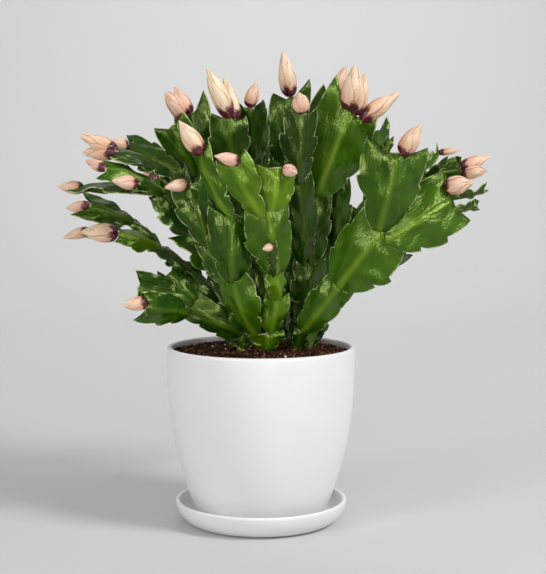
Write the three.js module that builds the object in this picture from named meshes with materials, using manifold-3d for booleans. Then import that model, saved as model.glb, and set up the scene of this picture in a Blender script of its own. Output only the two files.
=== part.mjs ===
// A christmas cactus in bud, in a round white pot on its saucer. Millimetres, +Z up.
// The origin is the middle of the saucer's flat underside; the plant's front looks along -Y.
import * as THREE from "three";
import { mergeVertices } from "three/addons/utils/BufferGeometryUtils.js";
import Module from "manifold-3d";

const wasm = await Module();
wasm.setup();

// Driving sizes of the pot, the saucer and the soil
const POT = { rim: 65, foot: 43, height: 118, wall: 3.8, floor: 5, swell: 2.5, drain: 6, lip: 1.6 };
const SAUCER = { rim: 59.4, foot: 47.5, height: 16, wall: 3, floor: 4 };
const SOIL = { belowRim: 4.6, mound: 3.2, lump: 0.8 };
const FOOT = { radius: 3.4, deep: 14, tall: 4, sides: 5 };
const ROUND_SIDES = 36;
const CLEAR = 0.3;

const POT_Z = SAUCER.floor + CLEAR;
const RIM_Z = POT_Z + POT.height;
const SOIL_Z = RIM_Z - SOIL.belowRim;

// The plant is laid out as it is seen by an eye in front of the pot.
// A place is drawn on the upright plane through the pot's axis, then moved to its depth along the line of sight.
const EYE = new THREE.Vector3(8.3, -928, 246);

function seen(across, up, depth) {
  const reach = (depth - EYE.y) / -EYE.y;
  return new THREE.Vector3(EYE.x + (across - EYE.x) * reach, depth, EYE.z + (up - EYE.z) * reach);
}

// Each shoot stands on a foot in the soil and is a chain of pads, the flat leaf-like joints of the stem.
// A pad's row: name, the pad it grows from, its tip across and up as seen from the front, the tip's depth,
// its width, how far its face is turned about its own length in degrees, its place across the parent's tip,
// how far it leans (one margin ahead of the other), how deep its teeth are cut, how far its stalk end narrows
// to a wedge and how long its horns are. The last five are left out where they are 0, 0, 1, 0.35 and 1.
const SHOOTS = {
  front: {
    foot: [5, -16],
    faces: [0, -1, 0],
    pads: [
      ["f0", "foot", 4, 131, -22, 26, 0, 0, 0, 0, 0.9, 0],
      ["f1", "f0", -19, 168, -40, 27, -28, -0.6, 0, 0.6, 0.9],
      ["f2", "f1", -20, 214, -46, 34, 0, -0.1, 0, 0.6, 0.6],
      ["f3", "f0", 11, 156, -30, 19, 10, 0.2, 0, 0.8],
      ["f4", "f3", 10, 173, -45, 15, 40],
      ["f5", "f4", 4, 216, -58, 32, 12, 0, 0.12, 0.6, 0.4, 1.2],
      ["f6", "f5", -20, 249, -74, 25, -14, -0.25, 0, 0.5, 1.3, 0.8],
      ["f7", "f5", 11.5, 245, -60, 29, 10, 0.15, 0, 0.3, 0.5, 0.3],
      ["f8", "f2", -41, 254, -52, 18, -40, 0, 0, 1.2, 0.3, 1],
      ["f9", "f1", -37, 193, -36, 17, 0, -0.5],
      ["f10", "f9", -50, 234, -38, 25, 15],
      ["f11", "f4", 8, 191, -60, 5, 0, -0.3],
    ],
  },
  right: {
    foot: [25, -12],
    faces: [0, -1, 0],
    pads: [
      ["r0", "foot", 28, 132, -20, 11, 0, 0, 0, 0, 0.35, 0],
      ["r1", "r0", 55, 165, -38, 22, 0, 0, 0, 0.6, 0],
      ["r2", "r1", 84, 202, -54, 45, -12, 0, -0.14, 0.6, 0.1],
      ["r3", "r2", 93, 255, -68, 46, 0, -0.1, 0, 0.5, 1, 0.9],
      ["r4", "r2", 131, 224, -48, 44, 0, 0.25, 0, 0.9, 0, 0.8],
      ["r5", "r4", 153, 230, -54, 8, 50, -0.1],
      ["r6", "r4", 148, 219, -46, 8, 40, 0.3],
      ["r7", "r3", 88, 265, -70, 5, 0, -0.3],
      ["r8", "r2", 79, 270, -19, 18, 10, -0.4, 0.08, 0.6, 0.3, 1.4],
    ],
  },
  low: {
    foot: [-13, -14],
    faces: [0, -1, 0],
    pads: [
      ["b0", "foot", -12, 131, -17, 10, 0, 0, 0, 0, 0.35, 0],
      ["b1", "b0", -50, 151, -32, 22, -10],
      ["b2", "b1", -64, 172, -32, 22, 15, 0.5, 0, 0.8, 0],
      ["b3", "b1", -85, 162, -42, 28, 20, 0.3, 0.05, 1.3, 0.3, 0.6],
      ["b4", "b1", -80, 149, -62, 23, 0, -0.4, 0, 0.6],
    ],
  },
  left: {
    foot: [-16, -4],
    faces: [0, -1, 0.2],
    pads: [
      ["a0", "foot", -13, 138, -6, 13, 20],
      ["a1", "a0", -27, 168, -17, 24, 55],
      ["a2", "a1", -54, 200, -22, 26, 58],
      ["a3", "a2", -69, 228, -30, 28, 55],
      ["a4", "a3", -106, 244, -46, 21, 45, 0.2],
      ["a7", "a3", -121, 231, -12, 20, 78, -0.3],
      ["a9", "a3", -84, 234, -56, 7, 10],
      ["a10", "a2", -59, 241, -12, 22, 10, 0.4],
      ["a5", "a10", -98, 256, -32, 22, 70, -0.3],
      ["a6", "a10", -91, 259, 2, 23, 10, 0.4, 0, 1, 0.8, 2],
    ],
  },
  side: {
    foot: [-20, 7],
    faces: [0, -1, 0.2],
    pads: [
      ["c0", "foot", -26, 146, 12, 13, 20],
      ["c1", "c0", -50, 175, 14, 24, 60],
      ["c2", "c1", -71, 190, 12, 22, 60],
      ["c3", "c2", -98, 200, -6, 15, 35, 0, 0, 0.5, 0.35, 0.3],
      ["c4", "c2", -89, 208, 22, 8, 30, 0.3],
      ["c5", "c4", -117, 219, 8, 21, 15, 0, -0.05, 0.2, 1.5, 2.2],
      ["c6", "c4", -117, 202, 40, 16, 60, -0.3],
    ],
  },
  mid: {
    foot: [-7, 4],
    faces: [0, -1, 0],
    pads: [
      ["u0", "foot", -10, 145, 6, 14, 0],
      ["u1", "u0", -20, 190, 5, 26, 15],
      ["u2", "u1", -25, 242, -20, 28, 0, 0.1],
      ["u3", "u2", -21, 279, -36, 28, 12, 0.1, 0, 0.6, 0.2, 0.4],
      ["u4", "u1", -42, 244, 8, 26, 0, -0.4],
      ["u5", "u4", -61, 273, -6, 28, 0, -0.3],
      ["u7", "u4", -47, 282, 2, 28, 0, 0.3, 0.16, 0.6, 0.3, 1.5],
    ],
  },
  crown: {
    foot: [4, 9],
    faces: [0, -1, 0],
    pads: [
      ["s0", "foot", 4, 150, 10, 14, 0],
      ["s1", "s0", -1, 197, 15, 26, 5],
      ["s2", "s1", -3, 244, 2, 27, 0],
      ["s3", "s2", -8, 286, -24, 24, 10, -0.2, 0, 0.6, 0.3, 0.8],
      ["s4", "s2", 3, 276, -2, 16, 60, 0.3],
    ],
  },
  crest: {
    foot: [13, 19],
    faces: [0, -1, 0],
    pads: [
      ["k0", "foot", 15, 152, 20, 14, 20],
      ["k1", "k0", 16, 199, 24, 25, -20],
      ["k2", "k1", 16, 248, 19, 26, 20],
      ["k3", "k2", 20, 293, 14, 30, 10, 0, 0.12, 0.6, 0.2, 1.4],
      ["k4", "k2", 49, 292, 24, 24, 0, 0.3],
    ],
  },
  top: {
    foot: [24, 5],
    faces: [0, -1, 0],
    pads: [
      ["t0", "foot", 29, 142, 2, 14, 20],
      ["t1", "t0", 34, 181, -7, 25, 20],
      ["t2", "t1", 38, 229, -18, 23, -10, 0.1, 0, 0.6],
      ["t3", "t2", 61, 284, -40, 42, 0, 0, -0.16, 0.5, 0.2, 1.1],
      ["t4", "t1", 26, 238, -38, 20, 10, -0.4],
      ["t5", "t4", 28, 283, -52, 24, 10, -0.2, 0, 1.2, 0.4, 0.8],
    ],
  },
  rear: {
    foot: [36, 9],
    faces: [0, -1, 0.2],
    pads: [
      ["q0", "foot", 43, 148, 13, 14, 20],
      ["q1", "q0", 52, 192, 10, 26, 25],
      ["q2", "q1", 84, 219, 10, 26, 20, 0.3],
      ["q3", "q2", 114, 242, 4, 27, 20],
      ["q4", "q3", 137, 243, -8, 21, 20, 0.2],
      ["q5", "q3", 121, 255, 16, 12, 70, -0.3],
      ["q6", "q1", 53, 234, -8, 19, 0, -0.1],
    ],
  },
  flank: {
    foot: [33, -3],
    faces: [0, -1, 0.3],
    pads: [
      ["p0", "foot", 38, 140, 0, 14, 20],
      ["p1", "p0", 59, 168, 4, 17, 20],
      ["p2", "p1", 99, 188, 14, 18, 40, 0.2],
      ["p3", "p1", 90, 202, -6, 17, 20, -0.3],
    ],
  },
  backLeft: {
    foot: [-16, 20],
    faces: [-0.5, 1, 0.4],
    pads: [
      ["g0", "foot", -22, 145, 28, 14, 10],
      ["g1", "g0", -34, 180, 48, 27, 25],
      ["g2", "g1", -44, 209, 68, 27, 40, -0.2],
      ["g3", "g2", -72, 237, 86, 24, 20, -0.5],
      ["g4", "g2", -48, 250, 84, 26, -30, 0.5],
      ["g5", "g1", -28, 226, 40, 27, -40, 0.3],
      ["g6", "g5", -40, 268, 48, 27, -25],
    ],
  },
  backMid: {
    foot: [-3, 27],
    faces: [-0.1, 1, 0.3],
    pads: [
      ["h0", "foot", -4, 150, 39, 14, 0],
      ["h1", "h0", -8, 194, 57, 27, -25],
      ["h2", "h1", -18, 235, 80, 30, 15, -0.2],
      ["h3", "h2", -33, 262, 110, 28, 35, -0.3],
      ["h4", "h2", -2, 268, 92, 29, -35, 0.3],
      ["h5", "h1", 8, 236, 56, 27, 30, 0.3],
      ["h6", "h5", 6, 278, 60, 27, 45],
    ],
  },
  backRight: {
    foot: [20, 26],
    faces: [0.4, 1, 0.3],
    pads: [
      ["m0", "foot", 26, 147, 36, 14, 0],
      ["m1", "m0", 38, 186, 54, 28, 25],
      ["m2", "m1", 58, 206, 84, 28, -30, 0.4],
      ["m3", "m2", 92, 215, 88, 26, 20, 0.2],
      ["m5", "m1", 34, 232, 62, 27, 35, -0.3],
      ["m4", "m5", 48, 258, 90, 28, -30, 0.2],
    ],
  },
  backLow: {
    foot: [7, 36],
    faces: [0.1, 1, 0.8],
    pads: [
      ["n0", "foot", 9, 137, 52, 14, 0],
      ["n1", "n0", 15, 152, 84, 27, 10],
      ["n2", "n1", 34, 158, 118, 26, 25, 0.6],
      ["n3", "n1", -6, 176, 100, 25, -25, -0.6],
    ],
  },
};

// Buds stand on the tips of pads, alone or two together.
// A row: the pad, then for each bud its place across the pad's tip, its point across, up and deep, and its thickness.
const BUDS = [
  ["a7", [0, -139, 232, -14, 9]],
  ["c5", [0, -134, 217, 14, 8]],
  ["c6", [0, -136, 197, 40, 8]],
  ["c3", [0, -124, 201, -10, 13]],
  ["a5", [0.2, -124, 267, -30, 10], [-0.2, -122, 255, -20, 10]],
  ["a4", [0, -120, 250, -38, 7]],
  ["a6", [0, -103, 263, -6, 9]],
  ["a9", [0, -102, 236, -62, 9]],
  ["f10", [0, -66, 231, -54, 8]],
  ["u7", [-0.4, -65, 297, -6, 11], [-0.1, -59, 300, 4, 10]],
  ["u3", [0, -37, 313, -46, 12], [0.3, -25, 306, -32, 10]],
  ["s3", [0, -3, 303, -30, 9]],
  ["f8", [0.1, -56, 277, -56, 12]],
  ["f6", [0.4, -32, 253, -84, 8]],
  ["k3", [0, 15, 324, 7, 12]],
  ["t5", [0, 26, 296, -62, 11]],
  ["f7", [0.3, 25, 241, -70, 8]],
  ["k4", [0, 58, 314, 20, 10]],
  ["t3", [0, 64, 315, -54, 14], [0.2, 71, 309, -44, 11]],
  ["t3", [0.4, 95, 296, -36, 11]],
  ["r3", [0.15, 109, 274, -78, 12]],
  ["q4", [-0.2, 157, 253, -8, 9], [0.2, 155, 243, -14, 9]],
  ["q5", [0, 137, 257, 18, 5]],
  ["r4", [-0.4, 146, 235, -60, 12]],
  ["b4", [0.3, -96, 150, -66, 9]],
  ["g3", [0, -80, 241, 106, 10]],
  ["g4", [0, -54, 270, 102, 11]],
  ["h3", [0, -37, 282, 126, 11]],
  ["h4", [0, 1, 286, 112, 12]],
  ["m3", [0, 108, 219, 104, 11]],
  ["m4", [0, 52, 280, 106, 11]],
  ["n2", [0, 44, 158, 138, 11]],
  ["n3", [0, -10, 186, 124, 11]],
  ["f11", [0, 1, 189, -66, 5]],
];

// A pad's margin from stalk to tip on one side: how far along, how far out from the midrib, how much narrower
// with the teeth and with a wedge-shaped stalk end, and how much further on with the horn beside the cut-off tip.
const MARGIN = [
  [0, 0.13, 0, 0, 0],
  [0.31, 0.86, 0, 0.26, 0],
  [0.36, 0.86, 0.12, 0.25, 0],
  [0.62, 1, 0, 0.08, 0],
  [0.67, 0.98, 0.13, 0.06, 0],
  [1, 0.82, 0, 0, 0.11],
  [0.97, 0.42, 0, 0, 0],
];
const RIB_STOPS = [0.5, 0];
const PAD = { rib: 1.3, edge: 0.4, arch: 0.07, cup: 0.16, sunk: 0.06 };

// The pad's own directions: along its length, across its width, and out of its face.
function padFrame(number, base, tip, width, turn, outward, lean, cut) {
  const along = tip.clone().sub(base);
  const length = along.length();
  along.normalize();
  const face = outward.clone().addScaledVector(along, -outward.dot(along)).normalize();
  face.applyAxisAngle(along, THREE.MathUtils.degToRad(turn));
  const across = new THREE.Vector3().crossVectors(along, face).multiplyScalar(-Math.sign(outward.y));
  return { number, base, along, across, face, length, half: width / 2, lean, cut };
}

function padPoint(pad, t, u, side = 0) {
  const skin = side * THREE.MathUtils.lerp(PAD.rib, PAD.edge, Math.min(1, Math.abs(u)));
  const rise = PAD.arch * pad.length * 4 * t * (1 - t) - PAD.cup * pad.half * u * u;
  return pad.base
    .clone()
    .addScaledVector(pad.along, (t + pad.lean * u * t) * pad.length)
    .addScaledVector(pad.across, u * pad.half)
    .addScaledVector(pad.face, rise + skin);
}

function solidFrom(points, faces) {
  const flat = new Float32Array(points.flatMap((p) => [p.x, p.y, p.z]));
  const solid = new wasm.Manifold(
    new wasm.Mesh({ numProp: 3, vertProperties: flat, triVerts: new Uint32Array(faces.flat()) }),
  );
  return solid.volume() < 0 ? solidFrom(points, faces.map(([a, b, c]) => [a, c, b])) : solid;
}

// No two pads are cut quite alike: the teeth of each side sit a little higher or lower, further in or out.
function marginOf(number, { teeth, wedge, horn }, hand) {
  return MARGIN.map(([t, u, toothed, wedged, horned], i) => {
    const tooth = Math.floor((i + 1) / 2);
    const shift = i < 1 ? 0 : 0.03 * Math.sin(number * 1.7 + tooth * 2.3 + hand);
    const reach = 1 + 0.08 * Math.sin(number * 2.4 + tooth * 1.9 + 2 * hand);
    return [t + shift + horn * horned, hand * (u - teeth * toothed - wedge * wedged) * reach];
  });
}

function planOf(number, cut) {
  const right = marginOf(number, cut, 1);
  const left = marginOf(number, cut, -1).reverse();
  return [...right, [1, 0], ...left, ...RIB_STOPS.map((t) => [t, 0])];
}

// A place on the cut-off tip of a pad, between its middle and the corner next to the horn
function tipPoint(pad, place) {
  const [t, u] = marginOf(pad.number, pad.cut, Math.sign(place) || 1).at(-1);
  const share = Math.min(1, place / u);
  return padPoint(pad, THREE.MathUtils.lerp(1, t, share), share * u);
}

// Both faces of a pad share one triangulation of each half, and a narrow wall joins them at the margin.
const TIP = MARGIN.length;
const OUTLINE_COUNT = 2 * MARGIN.length + 1;
const HALVES = [0, 1].map((left) => [
  ...MARGIN.map((_, i) => (left ? OUTLINE_COUNT - 1 - i : i)),
  TIP,
  ...RIB_STOPS.map((_, i) => OUTLINE_COUNT + i),
]);
const PLAIN = planOf(0, { teeth: 1, wedge: 0.35, horn: 1 });
const PLAN_TRIANGLES = HALVES.flatMap((loop, left) => {
  const order = left ? loop.slice().reverse() : loop;
  const outline = order.map((i) => new THREE.Vector2(PLAIN[i][1], PLAIN[i][0]));
  return THREE.ShapeUtils.triangulateShape(outline, []).map((tri) => tri.map((i) => order[i]));
});

function padSolid(pad) {
  const plan = planOf(pad.number, pad.cut);
  const points = [1, -1].flatMap((side) => plan.map(([t, u]) => padPoint(pad, t, u, side)));
  const faces = PLAN_TRIANGLES.flatMap(([a, b, c]) => [
    [a, b, c],
    [a + plan.length, c + plan.length, b + plan.length],
  ]);
  const loop = [...plan.slice(0, OUTLINE_COUNT).keys(), plan.length - 1];
  loop.forEach((a, i) => {
    const b = loop[(i + 1) % loop.length];
    faces.push([a, a + plan.length, b + plan.length], [a, b + plan.length, b]);
  });
  return solidFrom(points, faces);
}

// A bud: rings from its rounded foot over the full middle to the point
const BUD_SIDES = 6;
const BUD_RINGS = [
  [0, 0.3],
  [0.07, 0.62],
  [0.21, 0.94],
  [0.4, 1],
  [0.64, 0.78],
  [0.86, 0.36],
];

function budSolid(base, tip, thick) {
  const along = tip.clone().sub(base);
  const length = along.length();
  along.normalize();
  const sideways = new THREE.Vector3().crossVectors(along, new THREE.Vector3(0, 1, 0)).normalize();
  const upward = new THREE.Vector3().crossVectors(along, sideways);
  const rings = BUD_RINGS.flatMap(([s, r]) =>
    Array.from({ length: BUD_SIDES }, (_, k) => {
      const angle = ((k + 0.5) / BUD_SIDES) * 2 * Math.PI;
      return base
        .clone()
        .addScaledVector(along, s * length)
        .addScaledVector(sideways, (Math.cos(angle) * r * thick) / 2)
        .addScaledVector(upward, (Math.sin(angle) * r * thick) / 2);
    }),
  );
  const points = [...rings, base, tip];
  const faces = [];
  for (let k = 0; k < BUD_SIDES; k++) {
    const next = (k + 1) % BUD_SIDES;
    for (let ring = 0; ring < BUD_RINGS.length - 1; ring++) {
      const a = ring * BUD_SIDES;
      const b = a + BUD_SIDES;
      faces.push([a + k, a + next, b + next], [a + k, b + next, b + k]);
    }
    const last = (BUD_RINGS.length - 1) * BUD_SIDES;
    faces.push([points.length - 2, next, k], [points.length - 1, last + k, last + next]);
  }
  return solidFrom(points, faces);
}

// Draws the bud out along its own line until it only just leaves the pad.
function seatedBud(pad, place, tip, thick) {
  const root = tipPoint(pad, place);
  const aim = tip.clone().sub(root).normalize();
  const from = (lift) => root.clone().addScaledVector(aim, lift);
  let lift = 0;
  while (budSolid(from(lift), tip, thick).intersect(padSolid(pad)).volume() > 0) lift += 0.05;
  return budSolid(from(lift + CLEAR), tip, thick);
}

// A round solid turned from a closed outline of [radius, height]
function turned(outline, sides) {
  const path = [...outline, outline[0]].map(([r, z]) => new THREE.Vector2(r, z));
  const lathe = new THREE.LatheGeometry(path, sides).rotateX(Math.PI / 2);
  lathe.deleteAttribute("normal");
  lathe.deleteAttribute("uv");
  const merged = mergeVertices(lathe, 1e-3);
  const place = merged.getAttribute("position");
  const points = Array.from({ length: place.count }, (_, i) => new THREE.Vector3().fromBufferAttribute(place, i));
  const index = Array.from(merged.index.array);
  const faces = [];
  for (let i = 0; i < index.length; i += 3) {
    const [a, b, c] = index.slice(i, i + 3);
    if (a !== b && b !== c && c !== a) faces.push([a, b, c]);
  }
  return { points, faces };
}

function potOutline() {
  const stops = [0, 0.16, 0.36, 0.56, 0.72, 0.85, 0.95];
  const radiusAt = (drop) => POT.rim - (POT.rim - POT.foot) * Math.pow(drop, POT.swell);
  const outer = stops.slice(1).map((drop) => [radiusAt(drop), RIM_Z - drop * POT.height]);
  const inner = [0.72, 0.16].map((drop) => [radiusAt(drop) - POT.wall, RIM_Z - drop * POT.height]);
  return [
    [POT.drain, POT_Z],
    [POT.foot - 2.5, POT_Z],
    [POT.foot - 0.2, POT_Z + 2],
    ...outer.reverse(),
    [POT.rim, RIM_Z - POT.lip],
    [POT.rim - 1, RIM_Z],
    [POT.rim - POT.wall + 1, RIM_Z],
    [POT.rim - POT.wall, RIM_Z - POT.lip],
    ...inner.reverse(),
    [POT.foot - POT.wall - 2, POT_Z + POT.floor],
    [POT.drain, POT_Z + POT.floor],
  ];
}

function saucerOutline() {
  const { rim, foot, height, wall, floor } = SAUCER;
  return [
    [0, 0],
    [foot, 0],
    [foot + 4.2, 1.6],
    [rim - 3.4, 5.8],
    [rim - 0.8, 11],
    [rim, height - 1],
    [rim - 0.9, height],
    [rim - wall + 0.9, height],
    [rim - wall, height - 1],
    [rim - wall - 2.4, 9],
    [rim - wall - 6, 5.4],
    [foot - 1.6, floor],
    [0, floor],
  ];
}

// The soil fills the pot and heaves up in low lumps round the shoots.
function soilSolid() {
  const inside = POT.rim - POT.wall - CLEAR;
  const atDrop = (drop) => {
    const r = POT.rim - (POT.rim - POT.foot) * Math.pow(drop, POT.swell) - POT.wall - CLEAR * 1.6;
    return [r, RIM_Z - drop * POT.height];
  };
  const bottom = POT_Z + POT.floor + CLEAR;
  const top = [1, 0.86, 0.64, 0.42, 0.2].map((k) => [inside * k - 0.3, SOIL_Z]);
  const outline = [
    [0, bottom],
    [POT.foot - POT.wall - 2.6, bottom],
    ...[0.72, 0.16].map(atDrop),
    ...top,
    [0, SOIL_Z],
  ];
  const { points, faces } = turned(outline, ROUND_SIDES);
  for (const p of points) {
    const out = Math.hypot(p.x, p.y) / inside;
    if (p.z < SOIL_Z - 0.01) continue;
    const lump = Math.sin(p.x * 0.31 + 1.3) * Math.cos(p.y * 0.27 - p.x * 0.11) + 0.6 * Math.sin(p.y * 0.52 + p.x * 0.4);
    p.z += SOIL.mound * (1 - out * out) + SOIL.lump * lump * Math.min(1, 4 * (1 - out));
  }
  return solidFrom(points, faces);
}

function footSolid([x, y], grow) {
  const tall = FOOT.deep + FOOT.tall + 2 * grow;
  const radius = FOOT.radius + grow / Math.cos(Math.PI / FOOT.sides);
  const peg = new THREE.CylinderGeometry(radius, radius, tall, FOOT.sides);
  peg.rotateX(Math.PI / 2);
  peg.translate(x, y, SOIL_Z + SOIL.mound - FOOT.deep + tall / 2 - grow);
  peg.deleteAttribute("normal");
  peg.deleteAttribute("uv");
  const merged = mergeVertices(peg, 1e-3);
  const place = merged.getAttribute("position");
  const points = Array.from({ length: place.count }, (_, i) => new THREE.Vector3().fromBufferAttribute(place, i));
  const index = Array.from(merged.index.array);
  const faces = Array.from({ length: index.length / 3 }, (_, i) => index.slice(3 * i, 3 * i + 3));
  return solidFrom(points, faces);
}

// Fuses solids and smooths away slivers where they cross.
function oneBody(solids) {
  const parts = wasm.Manifold.union(solids).simplify(0.08).decompose();
  return parts.reduce((a, b) => (b.volume() > a.volume() ? b : a));
}

function meshOf(name, solid, material) {
  const made = solid.getMesh();
  const geometry = new THREE.BufferGeometry();
  const positions = new Float32Array(made.numVert * 3);
  for (let i = 0; i < made.numVert; i++) {
    positions.set(made.vertProperties.subarray(i * made.numProp, i * made.numProp + 3), i * 3);
  }
  geometry.setAttribute("position", new THREE.BufferAttribute(positions, 3));
  geometry.setIndex(new THREE.BufferAttribute(made.triVerts, 1));
  geometry.computeVertexNormals();
  const mesh = new THREE.Mesh(geometry, material.clone());
  mesh.name = name;
  return mesh;
}

const glaze = new THREE.MeshStandardMaterial({ color: 0xe9e8e6, roughness: 0.35, metalness: 0 });
const earth = new THREE.MeshStandardMaterial({ color: 0x33241a, roughness: 0.95, metalness: 0 });
const greenSkin = new THREE.MeshStandardMaterial({ color: 0x3f7a22, roughness: 0.35, metalness: 0 });
const budSkin = new THREE.MeshStandardMaterial({ color: 0xe3b596, roughness: 0.5, metalness: 0 });

const plant = new THREE.Group();
plant.name = "potted_christmas_cactus";

const saucer = turned(saucerOutline(), ROUND_SIDES);
const pot = turned(potOutline(), ROUND_SIDES);
plant.add(meshOf("saucer", solidFrom(saucer.points, saucer.faces), glaze));
plant.add(meshOf("pot", solidFrom(pot.points, pot.faces), glaze));

const pads = {};
let holes = [];
for (const [shoot, { foot, faces, pads: rows }] of Object.entries(SHOOTS)) {
  const outward = new THREE.Vector3(...faces);
  const footTop = new THREE.Vector3(foot[0], foot[1], SOIL_Z + SOIL.mound + 1);
  const solids = rows.map(([name, parent, across, up, depth, width, turn, ...more]) => {
    const [place = 0, lean = 0, teeth = 1, wedge = 0.35, horn = 1] = more;
    const base = parent === "foot" ? footTop : padPoint(pads[parent], 1 - PAD.sunk, place);
    const number = Object.keys(pads).length;
    const cut = { teeth, wedge, horn };
    pads[name] = padFrame(number, base, seen(across, up, depth), width, turn, outward, lean, cut);
    return padSolid(pads[name]);
  });
  holes.push(footSolid(foot, CLEAR));
  plant.add(meshOf(`shoot_${shoot}`, oneBody([footSolid(foot, 0), ...solids]), greenSkin));
}
plant.add(meshOf("soil", soilSolid().subtract(wasm.Manifold.union(holes)), earth));

BUDS.forEach(([padName, ...buds], i) => {
  const pad = pads[padName];
  const solids = buds.map(([place, across, up, depth, thick]) => seatedBud(pad, place, seen(across, up, depth), thick));
  plant.add(meshOf(`bud_${String(i + 1).padStart(2, "0")}`, oneBody(solids), budSkin));
});

export default plant;
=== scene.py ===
# %% [markdown]
# # A christmas cactus in bud
# The plant is a bush of flat, jointed stems in a round white pot on its saucer.
# Each joint is a pad with toothed margins, and a new pad grows from the cut-off tip of the old one.
# The solids of the frame give every place and size, so this file only makes each piece finer:
# it repeats the plant's layout in millimetres and turns it into metres at the end.

# %% Load the frame
import math

import bpy
import numpy as np
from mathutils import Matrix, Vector


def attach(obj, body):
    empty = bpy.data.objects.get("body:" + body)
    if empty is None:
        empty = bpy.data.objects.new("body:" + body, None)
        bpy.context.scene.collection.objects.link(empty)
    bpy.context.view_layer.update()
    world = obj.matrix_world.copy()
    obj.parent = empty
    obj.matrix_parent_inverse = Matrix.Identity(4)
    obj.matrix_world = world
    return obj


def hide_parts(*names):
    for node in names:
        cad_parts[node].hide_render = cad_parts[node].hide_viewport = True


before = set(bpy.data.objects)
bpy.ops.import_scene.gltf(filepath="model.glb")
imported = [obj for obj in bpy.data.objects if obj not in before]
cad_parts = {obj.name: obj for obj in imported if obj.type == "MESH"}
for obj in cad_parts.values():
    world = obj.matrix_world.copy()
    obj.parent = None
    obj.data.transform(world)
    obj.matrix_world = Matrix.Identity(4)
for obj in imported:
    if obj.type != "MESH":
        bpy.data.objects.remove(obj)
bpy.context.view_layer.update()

MM = 0.001

# %% [markdown]
# ## Camera
# The photo was taken from a little above the rim, with a long lens, so lines hardly converge.
# A camera could be matched by eye; here its place was worked out from the pot's rim and foot, whose sizes
# the frame gives. It is in millimetres, like the layout, because the layout is drawn as this eye sees it.

# %% Camera
EYE = Vector((8.3, -928, 246))
EYE_DIP = 5.11
FRAME_TALL = 574
FOCAL_PIXELS = 1353
SENSOR = 36

lens = bpy.data.cameras.new("camera")
lens.sensor_width = SENSOR
lens.lens = FOCAL_PIXELS / FRAME_TALL * SENSOR
camera = bpy.data.objects.new("camera", lens)
camera.location = EYE * MM
camera.rotation_euler = (math.radians(90 - EYE_DIP), 0, 0)
bpy.context.scene.collection.objects.link(camera)
bpy.context.scene.camera = camera
bpy.context.scene.view_settings.view_transform = "Standard"
print("lens, mm:", round(lens.lens, 2))

# %% [markdown]
# ## Helpers
# Some things are done to every piece: it is selected alone, opened for editing, or its points are read
# and moved. Written out each time they would hide the modelling, so they are short functions with plain
# names. The second set does the same for finishes, which are networks of nodes joined by links.


# %% Helpers for work by hand
def select_only(piece):
    bpy.ops.object.select_all(action="DESELECT")
    piece.select_set(True)
    bpy.context.view_layer.objects.active = piece


def open_edit(piece, action="SELECT"):
    select_only(piece)
    bpy.ops.object.mode_set(mode="EDIT")
    bpy.ops.mesh.select_all(action=action)


def close_edit():
    bpy.ops.object.mode_set(mode="OBJECT")


def put_at_origin(piece):
    select_only(piece)
    bpy.ops.object.transform_apply(location=True, rotation=True, scale=True)


def points_of(piece):
    """The mesh's points, a row each, in metres."""
    flat = np.empty(3 * len(piece.data.vertices))
    piece.data.vertices.foreach_get("co", flat)
    return flat.reshape(-1, 3)


def move_points(piece, points):
    piece.data.vertices.foreach_set("co", np.asarray(points, float).ravel())
    piece.data.update()


def triangles(piece):
    return sum(len(face.vertices) - 2 for face in piece.data.polygons)


print("the frame's nodes:", len(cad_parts))


# %% Helpers for finishes
def new_finish(name):
    finish = bpy.data.materials.new(name)
    finish.use_nodes = True
    return finish, finish.node_tree, finish.node_tree.nodes["Principled BSDF"]


def feed(tree, node, socket, value):
    """Links another node's output to a node's input, or sets the input to a plain value."""
    if isinstance(value, bpy.types.NodeSocket):
        tree.links.new(value, node.inputs[socket])
    else:
        node.inputs[socket].default_value = value


def add_node(tree, kind, sockets=(), **settings):
    made = tree.nodes.new("ShaderNode" + kind)
    for key, value in settings.items():
        setattr(made, key, value)
    for socket, value in dict(sockets).items():
        feed(tree, made, socket, value)
    return made


def ramp(tree, value, stops):
    """Turns a value into the colours of the stops, which are (place, red, green, blue)."""
    made = add_node(tree, "ValToRGB", {"Fac": value})
    points = made.color_ramp.elements
    while len(points) < len(stops):
        points.new(0.5)
    for point, (place, *colour) in zip(points, stops):
        point.position = place
        point.color = (*colour, 1)
    return made.outputs["Color"]


def blend_colours(tree, share, first, second):
    """Goes from the first colour to the second; a Mix node keeps its colours at inputs 6 and 7."""
    return add_node(tree, "Mix", {0: share, 6: first, 7: second}, data_type="RGBA").outputs[2]


def arithmetic(tree, operation, *values):
    return add_node(tree, "Math", dict(enumerate(values)), operation=operation).outputs[0]


def product(tree, first, second):
    return arithmetic(tree, "MULTIPLY", first, second)


def noise(tree, place, scale, detail=3, **more):
    made = add_node(tree, "TexNoise", {"Vector": place, "Scale": scale, "Detail": detail, **more})
    return made.outputs["Fac"]


def spread(tree, value, low, high, to_low=0.0, to_high=1.0):
    """Stretches a value's range from low and high to another range, cut off at its ends."""
    sockets = {"Value": value, "From Min": low, "From Max": high, "To Min": to_low, "To Max": to_high}
    return add_node(tree, "MapRange", sockets).outputs["Result"]


def bump(tree, height, strength, depth_mm, onto=None):
    """Makes a surface look as if it rose with the height, on top of another relief if there is one."""
    sockets = {"Height": height, "Strength": strength, "Distance": depth_mm * MM}
    if onto is not None:
        sockets["Normal"] = onto
    return add_node(tree, "Bump", sockets).outputs["Normal"]


def three_marks(tree, name):
    """What a piece carries at each point under one name, as one vector and as its three numbers."""
    carried = add_node(tree, "Attribute", attribute_name=name)
    split = add_node(tree, "SeparateXYZ", {"Vector": carried.outputs["Vector"]})
    return carried.outputs["Vector"], [split.outputs[axis] for axis in "XYZ"]


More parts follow.
